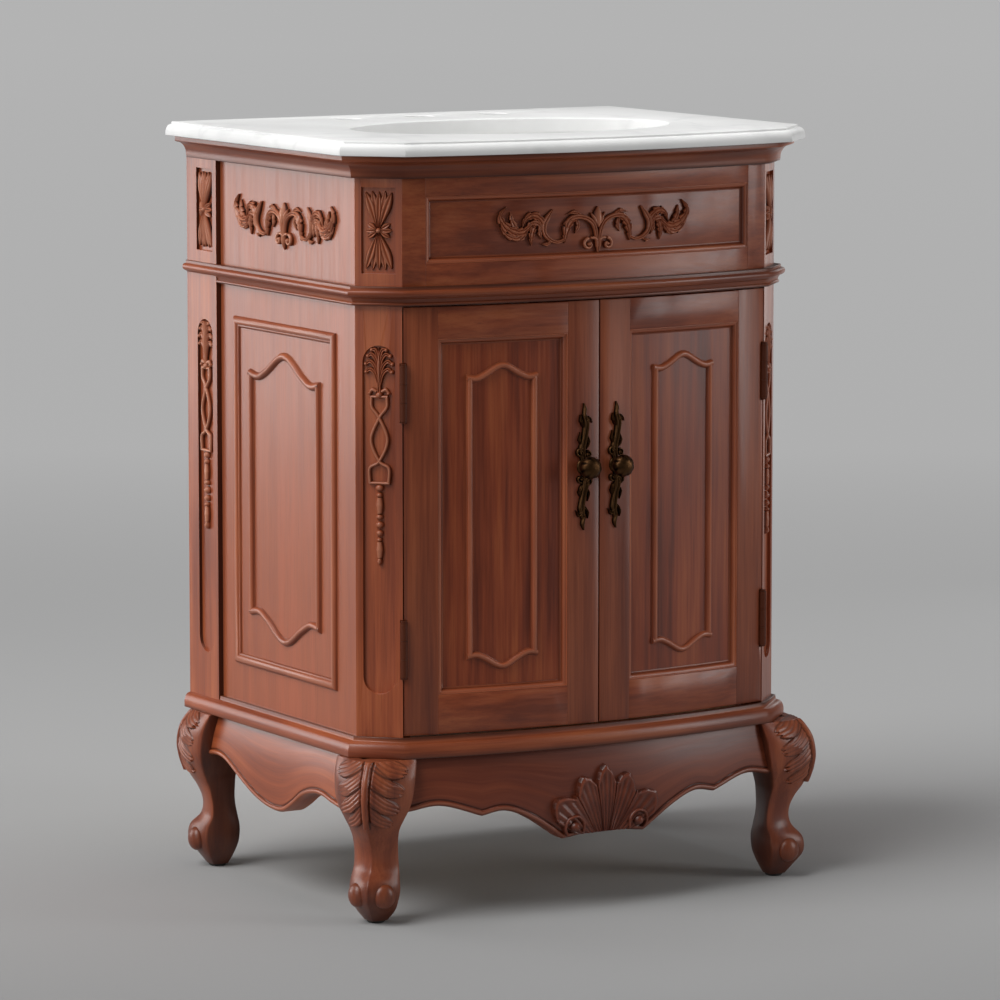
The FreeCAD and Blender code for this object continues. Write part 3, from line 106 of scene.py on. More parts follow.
def arc(centre, radii, start, end, steps=9):
    """Points on an ellipse about a centre between two angles in degrees."""
    angle = np.radians(np.linspace(start, end, steps))
    return np.stack([centre[0] + radii[0] * np.cos(angle), centre[1] + radii[1] * np.sin(angle)], 1)


def joined(*stretches):
    """Several stretches of a profile as one line without doubled points."""
    line = np.concatenate([np.atleast_2d(np.asarray(stretch, float)) for stretch in stretches])
    keep = np.concatenate([[True], np.hypot(*np.diff(line, axis=0).T) > 1e-6])
    return line[keep]


def grown(loop, step):
    """A closed line moved to its left by a step, each point along the mean of its two sides' normals."""
    ahead = np.roll(loop, -1, 0) - loop
    ahead /= np.hypot(*ahead.T)[:, None]
    behind = np.roll(ahead, 1, 0)
    mean = ahead + behind
    mean /= np.hypot(*mean.T)[:, None]
    scale = step / np.maximum((mean * ahead).sum(1), 0.35)
    return loop + np.stack([-mean[:, 1], mean[:, 0]], 1) * scale[:, None]


# Surfaces to lay shapes on: across, up and out of the surface

def on_bow(s, z, h):
    """The bowed front: arc length s about the bow's centre, h outwards along the radius."""
    angle = np.asarray(s) / RADIUS
    reach = RADIUS + h
    return np.stack(np.broadcast_arrays(reach * np.sin(angle), CENTRE - reach * np.cos(angle), z), -1)


def on_flat(spot, out):
    """An upright plane through a plan point, facing out; across runs to the right of someone facing it."""
    right = (-out[1], out[0])

    def lay(u, z, h):
        x, y = (spot[k] + right[k] * u + out[k] * h for k in (0, 1))
        return np.stack(np.broadcast_arrays(x, y, z), -1)
    return lay


def on_level(x, y, h):
    """Plan points at level h."""
    return np.stack(np.broadcast_arrays(x, y, h), -1)


on_side = on_flat((-HALF, 0), (-1, 0))
on_cant = on_flat((-(HALF + ARRIS) / 2, (APEX + RISE + SHOULDER) / 2), (-DIAGONAL, -DIAGONAL))
on_stile = on_flat((-HALF - STILE_PROUD, BACK - STILE_MIDDLE), (-1, 0))


# Meshes from grids of points

NO_FACES = np.zeros((0, 3), int)


def grid(points, wrap=False, shading_and_patina=0.0):
    """Quads over a grid of rows and columns; with wrap the columns close up and both end rows are filled.
    Each corner's grain place is the length run along the rows and round the columns."""
    points = np.asarray(points, float)
    n, m = points.shape[:2]
    looped = np.concatenate([points, points[:, :1]], 1) if wrap else points
    rows = np.concatenate([[0], np.cumsum(np.linalg.norm(np.diff(points, axis=0), axis=2).mean(1))])
    cols = np.concatenate([[0], np.cumsum(np.linalg.norm(np.diff(looped, axis=1), axis=2).mean(0))])
    i, j = (part.ravel() for part in np.meshgrid(np.arange(n - 1), np.arange(len(cols) - 1), indexing="ij"))
    corner = [(i, j), (i, j + 1), (i + 1, j + 1), (i + 1, j)]
    quads = np.stack([a * m + b % m for a, b in corner], 1)
    place = np.stack([np.stack([rows[a], cols[b]], 1) for a, b in corner], 1)
    tris = []
    for row in (0, n - 1) if wrap else ():
        middle = points[row] - points[row].mean(0)
        flat = middle @ np.linalg.svd(middle, full_matrices=False)[2][:2].T
        outline = [Vector((*spot, 0)) for spot in flat]
        tris += [[row * m + k for k in triple] for triple in tessellate_polygon([outline])]
    return {"points": points.reshape(-1, 3), "quads": quads, "place": place,
            "tris": np.array(tris, int).reshape(-1, 3), "shading_and_patina": np.broadcast_to(shading_and_patina, (n, m)).ravel()}


def within(loop, spots):
    """Whether points lie inside a closed line: a ray to the right crosses it an odd number of times."""
    start, end = loop, np.roll(loop, -1, 0)
    x, y = spots[:, :1], spots[:, 1:]
    spans = (start[:, 1] > y) != (end[:, 1] > y)
    rise = np.where(spans, end[:, 1] - start[:, 1], 1)
    meets = start[:, 0] + (y - start[:, 1]) / rise * (end[:, 0] - start[:, 0])
    return (spans & (x < meets)).sum(1) % 2 == 1


def fill(loops, lay, h):
    """A flat filling between closed lines: the first is the outside and the others are holes."""
    spots, edges = [], []
    for loop in loops:
        first = len(spots)
        spots += [Vector(spot) for spot in loop]
        edges += [(first + k, first + (k + 1) % len(loop)) for k in range(len(loop))]
    found = delaunay_2d_cdt(spots, edges, [], 1, 1e-7)
    flat = np.array([tuple(spot) for spot in found[0]])
    tris = np.array([list(face) for face in found[2]])
    for hole in loops[1:]:
        tris = tris[~within(hole, flat[tris].mean(1))]
    return {"points": lay(flat[:, 0], flat[:, 1], h), "quads": NO_FACES.reshape(0, 4),
            "place": np.zeros((0, 4, 2)), "tris": tris, "shading_and_patina": np.zeros(len(flat))}


def mirror(parts):
    """The mirror images of meshes across the middle of the cabinet."""
    return [{**part, "points": part["points"] * (-1, 1, 1)} for part in parts]


def crown_light(parts, share):
    """Meshes lightened by a share as painted highlight, or darkened by a share below zero, but for their
    hollows.
    """
    return [{**part, "shading_and_patina": part["shading_and_patina"] - share * (part["shading_and_patina"] < 0.25)} for part in parts]


def piece(name, parts, body, replaced, finish, crease=38):
    """One object from meshes in millimetres, welded and smooth but for creases, in place of CAD nodes."""
    starts = np.cumsum([0] + [len(part["points"]) for part in parts])
    points = np.concatenate([part["points"] for part in parts])
    quads = np.concatenate([part["quads"] + start for part, start in zip(parts, starts)])
    tris = np.concatenate([part["tris"] + start for part, start in zip(parts, starts)])
    place = np.concatenate([np.concatenate([part["place"].reshape(-1, 2) for part in parts]),
                            points[tris.ravel()][:, [2, 0]]])
    mesh = bpy.data.meshes.new(name)
    mesh.from_pydata((points / 1000).tolist(), [], quads.tolist() + tris.tolist())
    mesh.uv_layers.new(name="grain").data.foreach_set("uv", (place / 1000).astype(np.float32).ravel())
    shading_and_patina = np.concatenate([part["shading_and_patina"] for part in parts]).astype(np.float32)
    mesh.attributes.new("shading_and_patina", "FLOAT", "POINT").data.foreach_set("value", shading_and_patina)
    work = bmesh.new()
    work.from_mesh(mesh)
    bmesh.ops.remove_doubles(work, verts=work.verts, dist=1e-6)
    bmesh.ops.recalc_face_normals(work, faces=work.faces)
    work.to_mesh(mesh)
    work.free()
    mesh.polygons.foreach_set("use_smooth", np.ones(len(mesh.polygons), bool))
    mesh.set_sharp_from_angle(angle=math.radians(crease))
    mesh.materials.append(finish)
    thing = bpy.data.objects.new(name, mesh)
    bpy.context.scene.collection.objects.link(thing)
    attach(thing, body)
    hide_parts(*replaced)
    return thing


# Materials

def linear(code):
    """A colour written as sRGB hex, in linear light."""
    parts = [int(code[k:k + 2], 16) / 255 for k in (1, 3, 5)]
    return [c / 12.92 if c <= 0.04045 else ((c + 0.055) / 1.055) ** 2.4 for c in parts] + [1.0]


def material(name, sockets):
    """A surface material with constants on the shader's own sockets, and the functions that add and link
    its nodes. Stops give a node's colour band as pairs of place and shade."""
    made = bpy.data.materials.new(name)
    made.use_nodes = True
    tree = made.node_tree
    shader = tree.nodes["Principled BSDF"]
    for socket, value in sockets.items():
        shader.inputs[socket].default_value = value

    def add(kind, inputs, out=0, stops=(), **settings):
        new = tree.nodes.new(f"ShaderNode{kind}")
        for key, value in settings.items():
            setattr(new, key, value)
        for key, value in inputs.items():
            if isinstance(value, bpy.types.NodeSocket):
                tree.links.new(value, new.inputs[key])
            else:
                new.inputs[key].default_value = value
        band = new.color_ramp.elements if stops else ()
        while len(band) < len(stops):
            band.new(0.5)
        for stop, (place, shade) in zip(band, stops):
            stop.position = place
            stop.color = linear(shade)
        return new.outputs[out]

    def wire(socket, source):
        tree.links.new(source, shader.inputs[socket])
    return made, add, wire


# Length and width in millimetres, detail and warp of the wood's streaks, stain blotches, fibres and pores.
# Fibres and pores are drawn coarser than real ones, so that they show.
WOOD_PATTERNS = ((312.5, 16.13, 4, 0.4), (200, 111.1, 2, 0), (111.1, 3.03, 3, 0), (45.45, 1.111, 2, 0))


def wood(name, along, shades=("#823d24", "#9f4f2d", "#b36139"), gloss=0.36, coat=0.2):
    """Stained cherry under satin lacquer. The grain runs along an axis of the object, or along the piece's
    own run where along is None. An attribute of each piece paints shade dark in its hollows and paints
    highlights pale on its crowns."""
    lacquer = {"Coat Weight": coat, "Coat Roughness": 0.22, "Specular IOR Level": 0.38}
    made, add, wire = material(name, lacquer)
    if along is None:
        spot, order = add("UVMap", {}, uv_map="grain"), range(3)
    else:
        spot, order = add("TexCoord", {}, 3), [along] + [axis for axis in range(3) if axis != along]
    ways = [add("SeparateXYZ", {0: spot}, out) for out in order]
    noises = []
    for long, wide, detail, warp in WOOD_PATTERNS:
        scaled = [add("Math", {0: way, 1: 1000 / size}, operation="MULTIPLY")
                  for way, size in zip(ways, (long, wide, wide))]
        spots = add("CombineXYZ", dict(enumerate(scaled)))
        look = {"Scale": 1.0, "Detail": detail, "Distortion": warp}
        noises.append(add("TexNoise", {"Vector": spots, **look}))
    streak, stain_and_shade, fibre, pores = noises
    tone = -0.11
    for noise, weight in ((streak, 0.6), (stain_and_shade, 0.4), (fibre, 0.22)):
        tone = add("Math", {0: noise, 1: weight, 2: tone}, operation="MULTIPLY_ADD")
    colour = add("ValToRGB", {"Fac": tone}, stops=list(zip((0.37, 0.5, 0.63), shades)))
    pore = add("MapRange", {"Value": pores, "From Min": 0.55, "From Max": 0.75, "To Max": 0.22})
    colour = add("MixRGB", {"Fac": pore, "Color1": colour, "Color2": linear("#230f09")})
    # The attribute paints highlight toward pale wood below zero and paints shade toward near black above it
    shading_and_patina = add("Attribute", {}, 2, attribute_name="shading_and_patina")
    for weight, shade in ((-0.5, "#d29172"), (0.85, "#170907")):
        share = add("Math", {0: shading_and_patina, 1: weight}, operation="MULTIPLY")
        colour = add("MixRGB", {"Fac": share, "Color1": colour, "Color2": linear(shade)})
    wire("Base Color", colour)
    wire("Roughness", add("MapRange", {"Value": fibre, "From Min": 0.3, "From Max": 0.7,
                                       "To Min": gloss - 0.05, "To Max": gloss + 0.07}))
    relief = add("Math", {0: pores, 1: fibre}, operation="ADD")
    wire("Normal", add("Bump", {"Height": relief, "Strength": 0.06, "Distance": 0.0005}))
    return made


stained = wood("cherry_run", None)
upright_wood = wood("cherry_upright", 2)
side_wood = wood("cherry_side", 2, ("#9a5034", "#a25534", "#ab5938"))
# Darker copy of the cherry as painted shade, for the legs under the cabinet and the door stiles
shaded_wood = wood("cherry_painted_shade", 2, ("#6f331f", "#854126", "#995030"))
# Darker copy of the cherry as painted shade, for the front apron and shell under the base moulding
shaded_apron_wood = wood("cherry_apron_shaded", None, ("#652d1d", "#753620", "#854229"))
# Darker copies as painted shade against the front lamp: rails and frieze with grain across, figured door
# panels
shaded_cross_wood = wood("cherry_across_shaded", 0, ("#72341f", "#8c4326", "#9f5431"))
shaded_panel_wood = wood("cherry_figured_shaded", 2, ("#672812", "#883b1d", "#9f4f29"))


# Mouldings carried round the plan, mitred at the cants

def run_round(half, cant, rise, front_y, back, profile, steps=56):
    """Rows of a profile of offset and level, from the back left corner round the bowed front to the back
    right. A corner stands where two moved faces meet, so that every profile point keeps its offset."""
    offset, level = profile.T
    radius = ((half - cant) ** 2 + rise ** 2) / (2 * rise)
    centre, shoulder = front_y + radius, front_y + rise + cant
    diagonal, reach = shoulder - half - math.sqrt(2) * offset, radius + offset
    middle = diagonal + centre
    meet = (middle - np.sqrt(middle ** 2 - 2 * (diagonal ** 2 + centre ** 2 - reach ** 2))) / 2
    turn = np.arcsin((diagonal - meet) / reach)
    left = [(-half - offset, np.full_like(offset, back)),
            (-half - offset, shoulder - offset * math.tan(math.pi / 8))]
    bow = [(reach * np.sin(turn * share), centre - reach * np.cos(turn * share))
           for share in np.linspace(1, -1, steps)]
    right = [(-x, y) for x, y in reversed(left)]
    return np.array([np.stack([x, y, level], 1) for x, y in left + bow + right])


def moulding(name, stem, low, *stretches):
    """A moulding round the cabinet from a low level up, in place of its three CAD lengths; it ends just
    inside the back. Painted shade darkens it along its edges and in its hollows, and more over the front."""
    profile = joined(*stretches)
    offset, level = profile.T
    rows = run_round(HALF, HALF - ARRIS, RISE, APEX, BACK - 0.5, profile + (0, low))
    # Painted shadow lines at the lower and upper edge, painted shade in the hollows and over the front
    edges = 0.6 * bell(level, level.min(), 1.6) + 0.6 * bell(level, level.max(), 1.6)
    front = np.pad(np.full(len(rows) - 4, 0.34), 2)[:, None]
    shading_and_patina = edges + 0.18 * (1 - ease(offset, 0, offset.max())) + front
    replaced = [f"{stem}_{word}" for word in ("front", "left", "right")]
    piece(name, [grid(rows, True, np.clip(shading_and_patina, 0, 0.95))], "carcass", replaced, stained, 32)


moulding("cornice_run", "cornice", CORNICE,
         [(-1, 0)], arc((5.4, 0.8), (0.8, 0.8), -90, 0, 4), arc((18.3, 4.1), (11.7, 14.6), 180, 90, 12),
         arc((20.6, 20.7), (0.9, 0.9), -90, 0, 4), arc((20.6, 25.6), (0.9, 0.9), 0, 90, 4), [(-1, 26.5)])
moulding("waist_run", "waist_moulding", WAIST,
         [(-1, 0)], arc((4.4, 2), (1.6, 2), -90, 90, 8), arc((10, 4.6), (5.2, 5.4), 175, 95, 8),
         arc((8.6, 14.4), (3.9, 4), -70, 100, 12), arc((7.2, 21.2), (0.8, 0.8), 0, 90, 4), [(-1, 22)])
moulding("base_run", "base_moulding", BASE,
         [(-1, 0)], arc((13.2, 0.8), (0.8, 0.8), -90, 0, 4), [(14, 5)],
         arc((7.4, 5.6), (6.6, 11.4), 0, 84, 14), arc((7.6, 19.6), (2.6, 2.4), -110, -175, 5),
         arc((4, 22.2), (0.8, 0.8), 0, 90, 4), [(-1, 23)])


# Frames and beads laid on panels

def ring(loop, profile, lay):
    """A profile of inward offset and height carried along a closed line on a surface, mitred at corners.
    Painted highlight lightens its crown and painted shade darkens its foot."""
    step, height = profile.T
    flat = np.stack([grown(loop, inward) for inward in step], 1)
    rows = lay(flat[..., 0], flat[..., 1], np.broadcast_to(height, flat.shape[:2]))
    slope = np.abs(np.gradient(height)) / np.hypot(*np.gradient(profile, axis=0).T)
    crown = (height - height.min()) / np.ptp(height)
    shading_and_patina = np.where(crown > 0.55, -0.5 * crown * (1 - slope), 0.45 * (1 - crown))
    return {**grid(np.concatenate([rows, rows[:1]]), True, shading_and_patina), "tris": NO_FACES}


def rectangle(sides, heights, steps=24):
    """A closed rectangle between two sides and two heights, its edges divided, run anticlockwise."""
    u, v = np.linspace(*sides, steps), np.linspace(*heights, steps)
    left, right = (np.full(steps, side) for side in sides)
    foot, head = (np.full(steps, height) for height in heights)
    edges = [(u, foot), (right, v), (u[::-1], head), (left, v[::-1])]
    return np.concatenate([np.stack(edge, 1)[:-1] for edge in edges])


def serpentine(middle, half, low, high, rise, steps=90):
    """A closed outline with upright sides; head and foot swing from a shallow dip near the corners up to a
    round point: a cosine over three quarters of the half width, less a squared sine over the rest."""
    q = np.linspace(-1, 1, steps)
    dip = 0.1 * np.sin(np.pi * ease(np.abs(q), 0.55, 1)) ** 2
    wave = 0.5 + 0.5 * np.cos(np.pi * ease(np.abs(q), 0, 0.74)) - dip
    foot = np.stack([middle + half * q, low - rise * wave], 1)
    head = np.stack([middle - half * q, high + rise * wave], 1)
    climb = np.linspace(low, high, 12)[1:-1]
    return np.concatenate([foot, np.stack([np.full(10, middle + half), climb], 1), head,
                           np.stack([np.full(10, middle - half), climb[::-1]], 1)])


def bead(width, proud, ground):
    """A half-round bead with a small fillet on each side, standing on a ground level."""
    return joined([(0, ground - 0.5), (0, ground + 0.5)],
                  arc((width / 2, ground + 0.4), (width / 2 - 0.7, proud - 0.4), 172, 8, 12),
                  [(width, ground + 0.5), (width, ground - 0.5)])


# Depth of the panels behind the front, and sides of the sunk frames as arc lengths
SUNK = 7.0
DOOR_FRAME, FRIEZE_FRAME = (-202.8, -41.5), (-217.0, 217.0)
# Serpentine beads: middle, half width, lower and upper end of the sides, and rise of the points
DOOR_OUTLINE, SIDE_OUTLINE = (-122.1, 44.7, 296.0, 623.0, 13.0), (-15.0, 85.8, 318.0, 608.5, 26.0)
# Profiles of the sunk and of the raised frames: inward offset and height
SLOPE = joined([(-0.4, -7.4), (-0.4, -0.6)], arc((0.6, -1.2), (0.7, 0.9), 150, 40, 5), [(1.4, -1.7)],
               arc((1.6, -5.2), (3.6, 3.4), 85, 5, 8), [(5.4, -5.9)],
               arc((7.8, -5.4), (2.0, 1.4), 190, 268, 5), [(7.8, -7.4)])
RAISED = joined([(0, -0.5), (0, 0.6)], arc((5.4, 0.8), (5, 3.7), 170, 40, 10),
                arc((10.4, 0.6), (2.2, 1.8), 110, 20, 5), [(13, 0.4), (13, -0.5)])
side_frame = [-side_of("side_moulding_left", corner, 1) for corner in (1, 0)]
left_trim = [ring(rectangle(DOOR_FRAME, levels("left_door_mouldings")), SLOPE, on_bow),
             ring(serpentine(*DOOR_OUTLINE), bead(8.5, 4.4, -SUNK), on_bow)]
left_frame = [ring(rectangle(side_frame, levels("side_moulding_left"), 4), RAISED, on_side),
              ring(serpentine(*SIDE_OUTLINE), bead(9.5, 4.6, 0), on_side)]
frieze_trim = [ring(rectangle(FRIEZE_FRAME, levels("frieze_moulding"), 48), SLOPE, on_bow)]
piece("left_door_trim", left_trim, "left_door", ["left_door_mouldings"], stained)
piece("right_door_trim", mirror(left_trim), "right_door", ["right_door_mouldings"], stained)
piece("frieze_trim", frieze_trim, "carcass", ["frieze_moulding"], stained)
piece("side_frame_left", left_frame, "carcass", ["side_moulding_left"], stained)
piece("side_frame_right", mirror(left_frame), "carcass", ["side_moulding_right"], stained)


# Marble top: moulded edge, basin opening and three tap holes

TOP_CANT, TOP_RISE = 54.0, 28.7
BOWL_Y, BOWL = -21.0, (200.0, 135.0)
TAP_Y, TAP_PITCH, TAP = 194.0, 101.6, (17.5, 17.5)
EASED = 2.0
EDGE = joined(arc((-9, 15), (1, 1), 90, 0, 5), [(-8, 13.4)], arc((-8, 3.6), (8, 9.8), 90, 0, 12),
              arc((-0.8, 0.8), (0.8, 0.8), 0, -90, 4)) + (0, SLAB_LOW)
MOUTH = joined(arc((EASED, SLAB_HIGH - EASED), (EASED, EASED), 90, 180, 6), [(0, SLAB_LOW)])


def oval(middle, radii, steps):
    """A closed ellipse run anticlockwise."""
    return arc(middle, radii, 0, 360, steps + 1)[:-1]


def collar(loop):
    """The wall of an opening through the top, its upper edge rounded."""
    flat = np.stack([grown(loop, -step) for step in MOUTH[:, 0]], 1)
    wall = np.concatenate([flat, np.broadcast_to(MOUTH[:, 1], flat.shape[:2])[..., None]], 2)
    return grid(np.concatenate([wall, wall[:1]]))


openings = [oval((0, BOWL_Y), BOWL, 180)] + [oval((x, TAP_Y), TAP, 40) for x in (-TAP_PITCH, 0, TAP_PITCH)]
rim = run_round(TOP_HALF, TOP_CANT, TOP_RISE, TOP_FRONT, TOP_BACK, EDGE, 72)
back_end = np.concatenate([rim[0][:, [0, 2]], rim[-1][::-1][:, [0, 2]]])
upper = [rim[::-1, 0, :2]] + [grown(loop, -EASED) for loop in openings]
lower = [rim[::-1, -1, :2]] + openings
slab = [grid(rim), fill(upper, on_level, SLAB_HIGH), fill(lower, on_level, SLAB_LOW)]
slab += [fill([back_end], on_flat((0, TOP_BACK), (0, -1)), 0)] + [collar(loop) for loop in openings]


# Legs: rounded square sections on the diagonal, leaf carving on the knee and two bosses on the foot

# Share of the height, then how far the section reaches out, in and to each side as shares of the knee
LEG_SHARES = np.array([
    (0, .27, .27, .28), (.065, .48, .41, .47), (.134, .69, .52, .56), (.194, .73, .56, .6),
    (.253, .66, .56, .58), (.317, .42, .51, .54), (.382, .35, .46, .52), (.446, .39, .44, .52),
    (.511, .51, .45, .54), (.575, .68, .47, .6), (.64, .79, .53, .72), (.71, .87, .6, .85),
    (.785, .9, .68, .92), (.88, .83, .72, .95), (.952, .66, .74, .95), (1, .48, .74, .93)])
FOOT_X, FOOT_Y, REAR_FOOT_Y = 270.5, -176.2, 212.5
KNEE, GLIDE, LEG_REACH, SQUARENESS = 50.0, 3.0, 40.9, 1.3
# Foot bosses: radii outwards, along the face and up, then their place outwards, along the face and up
BOSS, BOSS_OUT, BOSS_ALONG, BOSS_LEVEL = (9.6, 13.4, 14.2), 26.0, 3.4, 34.0
# Lobes of the knee leaf: root level on the stem, tip's place across the face, tip level, half width
LOBES = [(195, 47, 172, 9.6), (177, 46, 151, 9.6), (158, 40, 131, 9.2), (139, 29, 115, 8.2)]
LEAF_FOOT, LEAF_REED, LEAF_TALL, STEM_TALL = 114.0, 4.4, 4.2, 5.0


def leaf_relief(across, level):
    """Height of the knee leaf and its painted light: shade at the lobes' edges, in the reeds and in the ditch
    by the stem, highlight on the reed crowns and the stem. Each lobe is a blade drooping from the stem
    with straight reeds and a notched tip, its lower edge lapped over the next lobe; a round stem runs down
    the arris."""
    height, shading_and_patina = np.zeros_like(across), np.zeros_like(across)
    for root, out, tip, half in LOBES:
        way = np.array([out, tip - root])
        length = np.hypot(*way)
        t = (across * way[0] + (level - root) * way[1]) / length ** 2
        q = (-across * way[1] + (level - root) * way[0]) / length
        wide = half * np.sqrt(1 - ease(t, 0.55, 1.02) ** 2.2) + 1e-3
        lean = q + 2.5 * np.sin(np.pi * ease(t, 0, 1)) - 2.5 * ease(t, 0.6, 1)
        reed = 0.5 + 0.5 * np.cos(2 * np.pi * lean / LEAF_REED)
        inside = np.where((t > -0.1) & (t < 1.02 - 0.12 * (1 - reed)), wide - np.abs(lean), -9)
        lap = 0.72 - 0.28 * np.clip(lean / wide, -1, 1)
        blade = LEAF_TALL * lap * np.sqrt(ease(inside, 0, 1.6)) - 0.7 * (1 - reed) * ease(inside, 0, 2)
        height = np.maximum(height, np.where(inside > 0, blade, 0))
        edge = bell(inside, 0, 0.9) * (inside > -4)
        stain_and_shade = np.where(inside > 1.2, 0.4 * (1 - reed) ** 2 - 0.25 * reed, 0.75 * edge)
        shading_and_patina = np.maximum(shading_and_patina, stain_and_shade)
    wide = 2.7 + 1.7 * ease(level, LEAF_FOOT, LEAF_FOOT + 75)
    ditch = bell(across, wide + 1.1, 1)
    stem = STEM_TALL * np.sqrt(np.clip(1 - (across / wide) ** 2, 0, 1))
    height = np.maximum(height * (1 - 0.8 * ditch), stem) * ease(level, LEAF_FOOT, LEAF_FOOT + 1.5)
    # Painted highlight on the stem, painted shade in the ditch beside it
    shading_and_patina = np.where(across < wide * 0.8, -0.35, np.maximum(shading_and_patina, 0.75 * ditch))
    return height, shading_and_patina * ease(level, LEAF_FOOT - 3, LEAF_FOOT)


def leg(side, foot_y, forward):
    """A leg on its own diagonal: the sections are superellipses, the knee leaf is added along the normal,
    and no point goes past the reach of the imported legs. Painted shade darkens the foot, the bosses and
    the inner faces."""
    level = np.concatenate([np.linspace(0, 0.55, 60), np.linspace(0.555, 1, 130)])
    shares = curve(LEG_SHARES, 600)
    out, inn, wide = (np.interp(level, shares[:, 0], shares[:, k])[:, None] * KNEE for k in (1, 2, 3))
    turn = np.radians(np.concatenate([np.linspace(-100, 100, 220), np.linspace(104, 256, 60)]))
    bent = [np.sign(w) * np.abs(w) ** (2 / SQUARENESS) for w in (np.cos(turn), np.sin(turn))]
    reach = np.broadcast_to((out - inn) / 2 + (out + inn) / 2 * bent[0], (len(level), len(turn)))
    aside = np.broadcast_to(wide * bent[1], reach.shape)
    z = np.broadcast_to(GLIDE + level[:, None] * (BASE - GLIDE), reach.shape)
    steps = np.hypot(np.diff(reach, axis=1), np.diff(aside, axis=1))
    run = np.concatenate([np.zeros((len(level), 1)), np.cumsum(steps, 1)], 1)
    run = run - run[:, 109:111].mean(1, keepdims=True)
    height, shading_and_patina = leaf_relief(np.abs(run), z)
    front, inner = ease(np.cos(turn), -0.05, 0.15), ease(-np.cos(turn), 0.02, 0.18)
    surface = np.stack([reach, aside, z], 2)
    normal = np.cross(np.gradient(surface, axis=1), np.gradient(surface, axis=0))
    normal /= np.linalg.norm(normal, axis=2, keepdims=True) + 1e-9
    surface = surface + normal * (height * front)[..., None]
    surface[..., 2] = np.minimum(surface[..., 2], BASE)
    # Painted shade on the inner faces, turned in under the cabinet, and on the foot near the floor
    shading_and_patina = np.maximum(shading_and_patina * front, np.maximum(0.72 * inner, 0.8 * (1 - ease(z, 0, 76))))
    spin, tilt = np.meshgrid(np.linspace(0, 2 * np.pi, 41)[:-1], np.linspace(-1.5, 1.5, 24))
    ball = np.stack([np.cos(tilt) * np.cos(spin), np.cos(tilt) * np.sin(spin), np.sin(tilt)], 2) * BOSS
    bosses = []
    for lean in (-1, 1):
        out_way, face_way = DIAGONAL * np.array([(1, lean, 0), (1, -lean, 0)])
        boss = (BOSS_OUT + ball[..., :1]) * out_way + (BOSS_ALONG + ball[..., 1:2]) * face_way
        boss[..., 2] = BOSS_LEVEL + ball[..., 2]
        # Even painted shade on the bosses, and a ring of painted shade round their foot on the leg
        bosses.append(grid(boss, True, 0.36))
        aside, above = surface @ face_way - BOSS_ALONG, surface[..., 2] - BOSS_LEVEL
        edge = bell(np.hypot(aside / BOSS[1], above / BOSS[2]), 0.95, 0.09)
        shading_and_patina = np.maximum(shading_and_patina, 0.85 * edge * (surface @ out_way > BOSS_OUT / 2))
    made = [grid(surface, True, shading_and_patina)] + bosses
    for mesh in made:
        forth, across, up = mesh["points"].T
        aside, ahead = (np.minimum(way * DIAGONAL, LEG_REACH) for way in (forth - across, forth + across))
        mesh["points"] = np.stack([side * (FOOT_X + aside), foot_y + forward * ahead, up], 1)
    return made


for word, side in (("left", -1), ("right", 1)):
    for row, foot_y, forward in (("front", FOOT_Y, -1), ("rear", REAR_FOOT_Y, 1)):
        piece(f"carved_leg_{row}_{word}", leg(side, foot_y, forward), "carcass", [f"leg_{row}_{word}"],
              shaded_wood, 50)


# Aprons: swelled boards with a serpentine lower edge and a bead along it

FRONT_DROP, SIDE_DROP = (BASE - levels(name)[0] for name in ("apron_front", "apron_left"))
# Half the front apron's arc length, then the lower edges as shares of length and drop
APRON_HALF = 246.0
FRONT_WAVES = [[(0, .57), (.08, .526), (.1795, .665)], [(.1795, .665), (.24, .628), (.31, .76), (.3885, 1)],
               [(.3885, 1), (.5, .943), (.6115, 1)]]
SIDE_WAVE = [(0, .66), (.06, .55), (.12, .511), (.18, .55), (.25, .68), (.35, .875), (.43, .975), (.496, 1),
             (.55, .965), (.61, .84), (.67, .69), (.73, .61), (.79, .6), (.86, .66), (1, .75)]
BEAD_MIDDLE, QUIRK = 2.6, 6.0


def apron_face(z, drop):
    """How far the face of an apron stands out at a level: it swells by a parabola in height."""
    fall = ease(BASE - z, 0, drop)
    return 5 + 25.9 * fall - 19.4 * fall ** 2


def apron(edge, start, end, drop, lay, steps=240):
    """A swelled board hung from the base moulding; a half-round bead and a quirk above it follow its lower
    edge, square to it."""
    s = np.linspace(start, end, steps)
    low = np.interp(s, edge[:, 0], edge[:, 1])
    share = np.concatenate([np.linspace(0, 0.6, 14)[:-1], 1 - 0.4 * np.linspace(1, 0, 40) ** 1.6])
    z = BASE + (low[:, None] - BASE) * share
    near = (z - low[:, None]) / np.hypot(1, np.gradient(low, s))[:, None]
    swell = np.sqrt(np.clip(1 - ((near - BEAD_MIDDLE) / BEAD_MIDDLE) ** 2, 0, 1))
    face = apron_face(z, drop) + 1.9 * swell - 0.8 * bell(near, QUIRK, 0.9)
    # Painted shade in the quirk, painted highlight on the bead
    shading_and_patina = 0.8 * bell(near, QUIRK, 1.1) - 0.35 * bell(near, BEAD_MIDDLE, 1.4)
    flush = np.ones(steps)
    under = np.stack([face[:, -1] - 1.2, -11.5 * flush, -13 * flush, -13 * flush], 1)
    under_z = np.stack([low - 0.9, low - 0.9, low + 0.8, BASE * flush], 1)
    spots = lay(s[:, None], np.concatenate([z, under_z], 1), np.concatenate([face, under], 1))
    return grid(spots, True, np.pad(shading_and_patina, ((0, 0), (0, 4))))


def hung(drop, start, end, *stretches):
    """Lower edge of an apron: smooth stretches of shares of its length and drop, meeting at cusps."""
    line = np.concatenate([curve(stretch, 60) for stretch in stretches])
    return np.stack([start + line[:, 0] * (end - start), BASE - line[:, 1] * drop], 1)


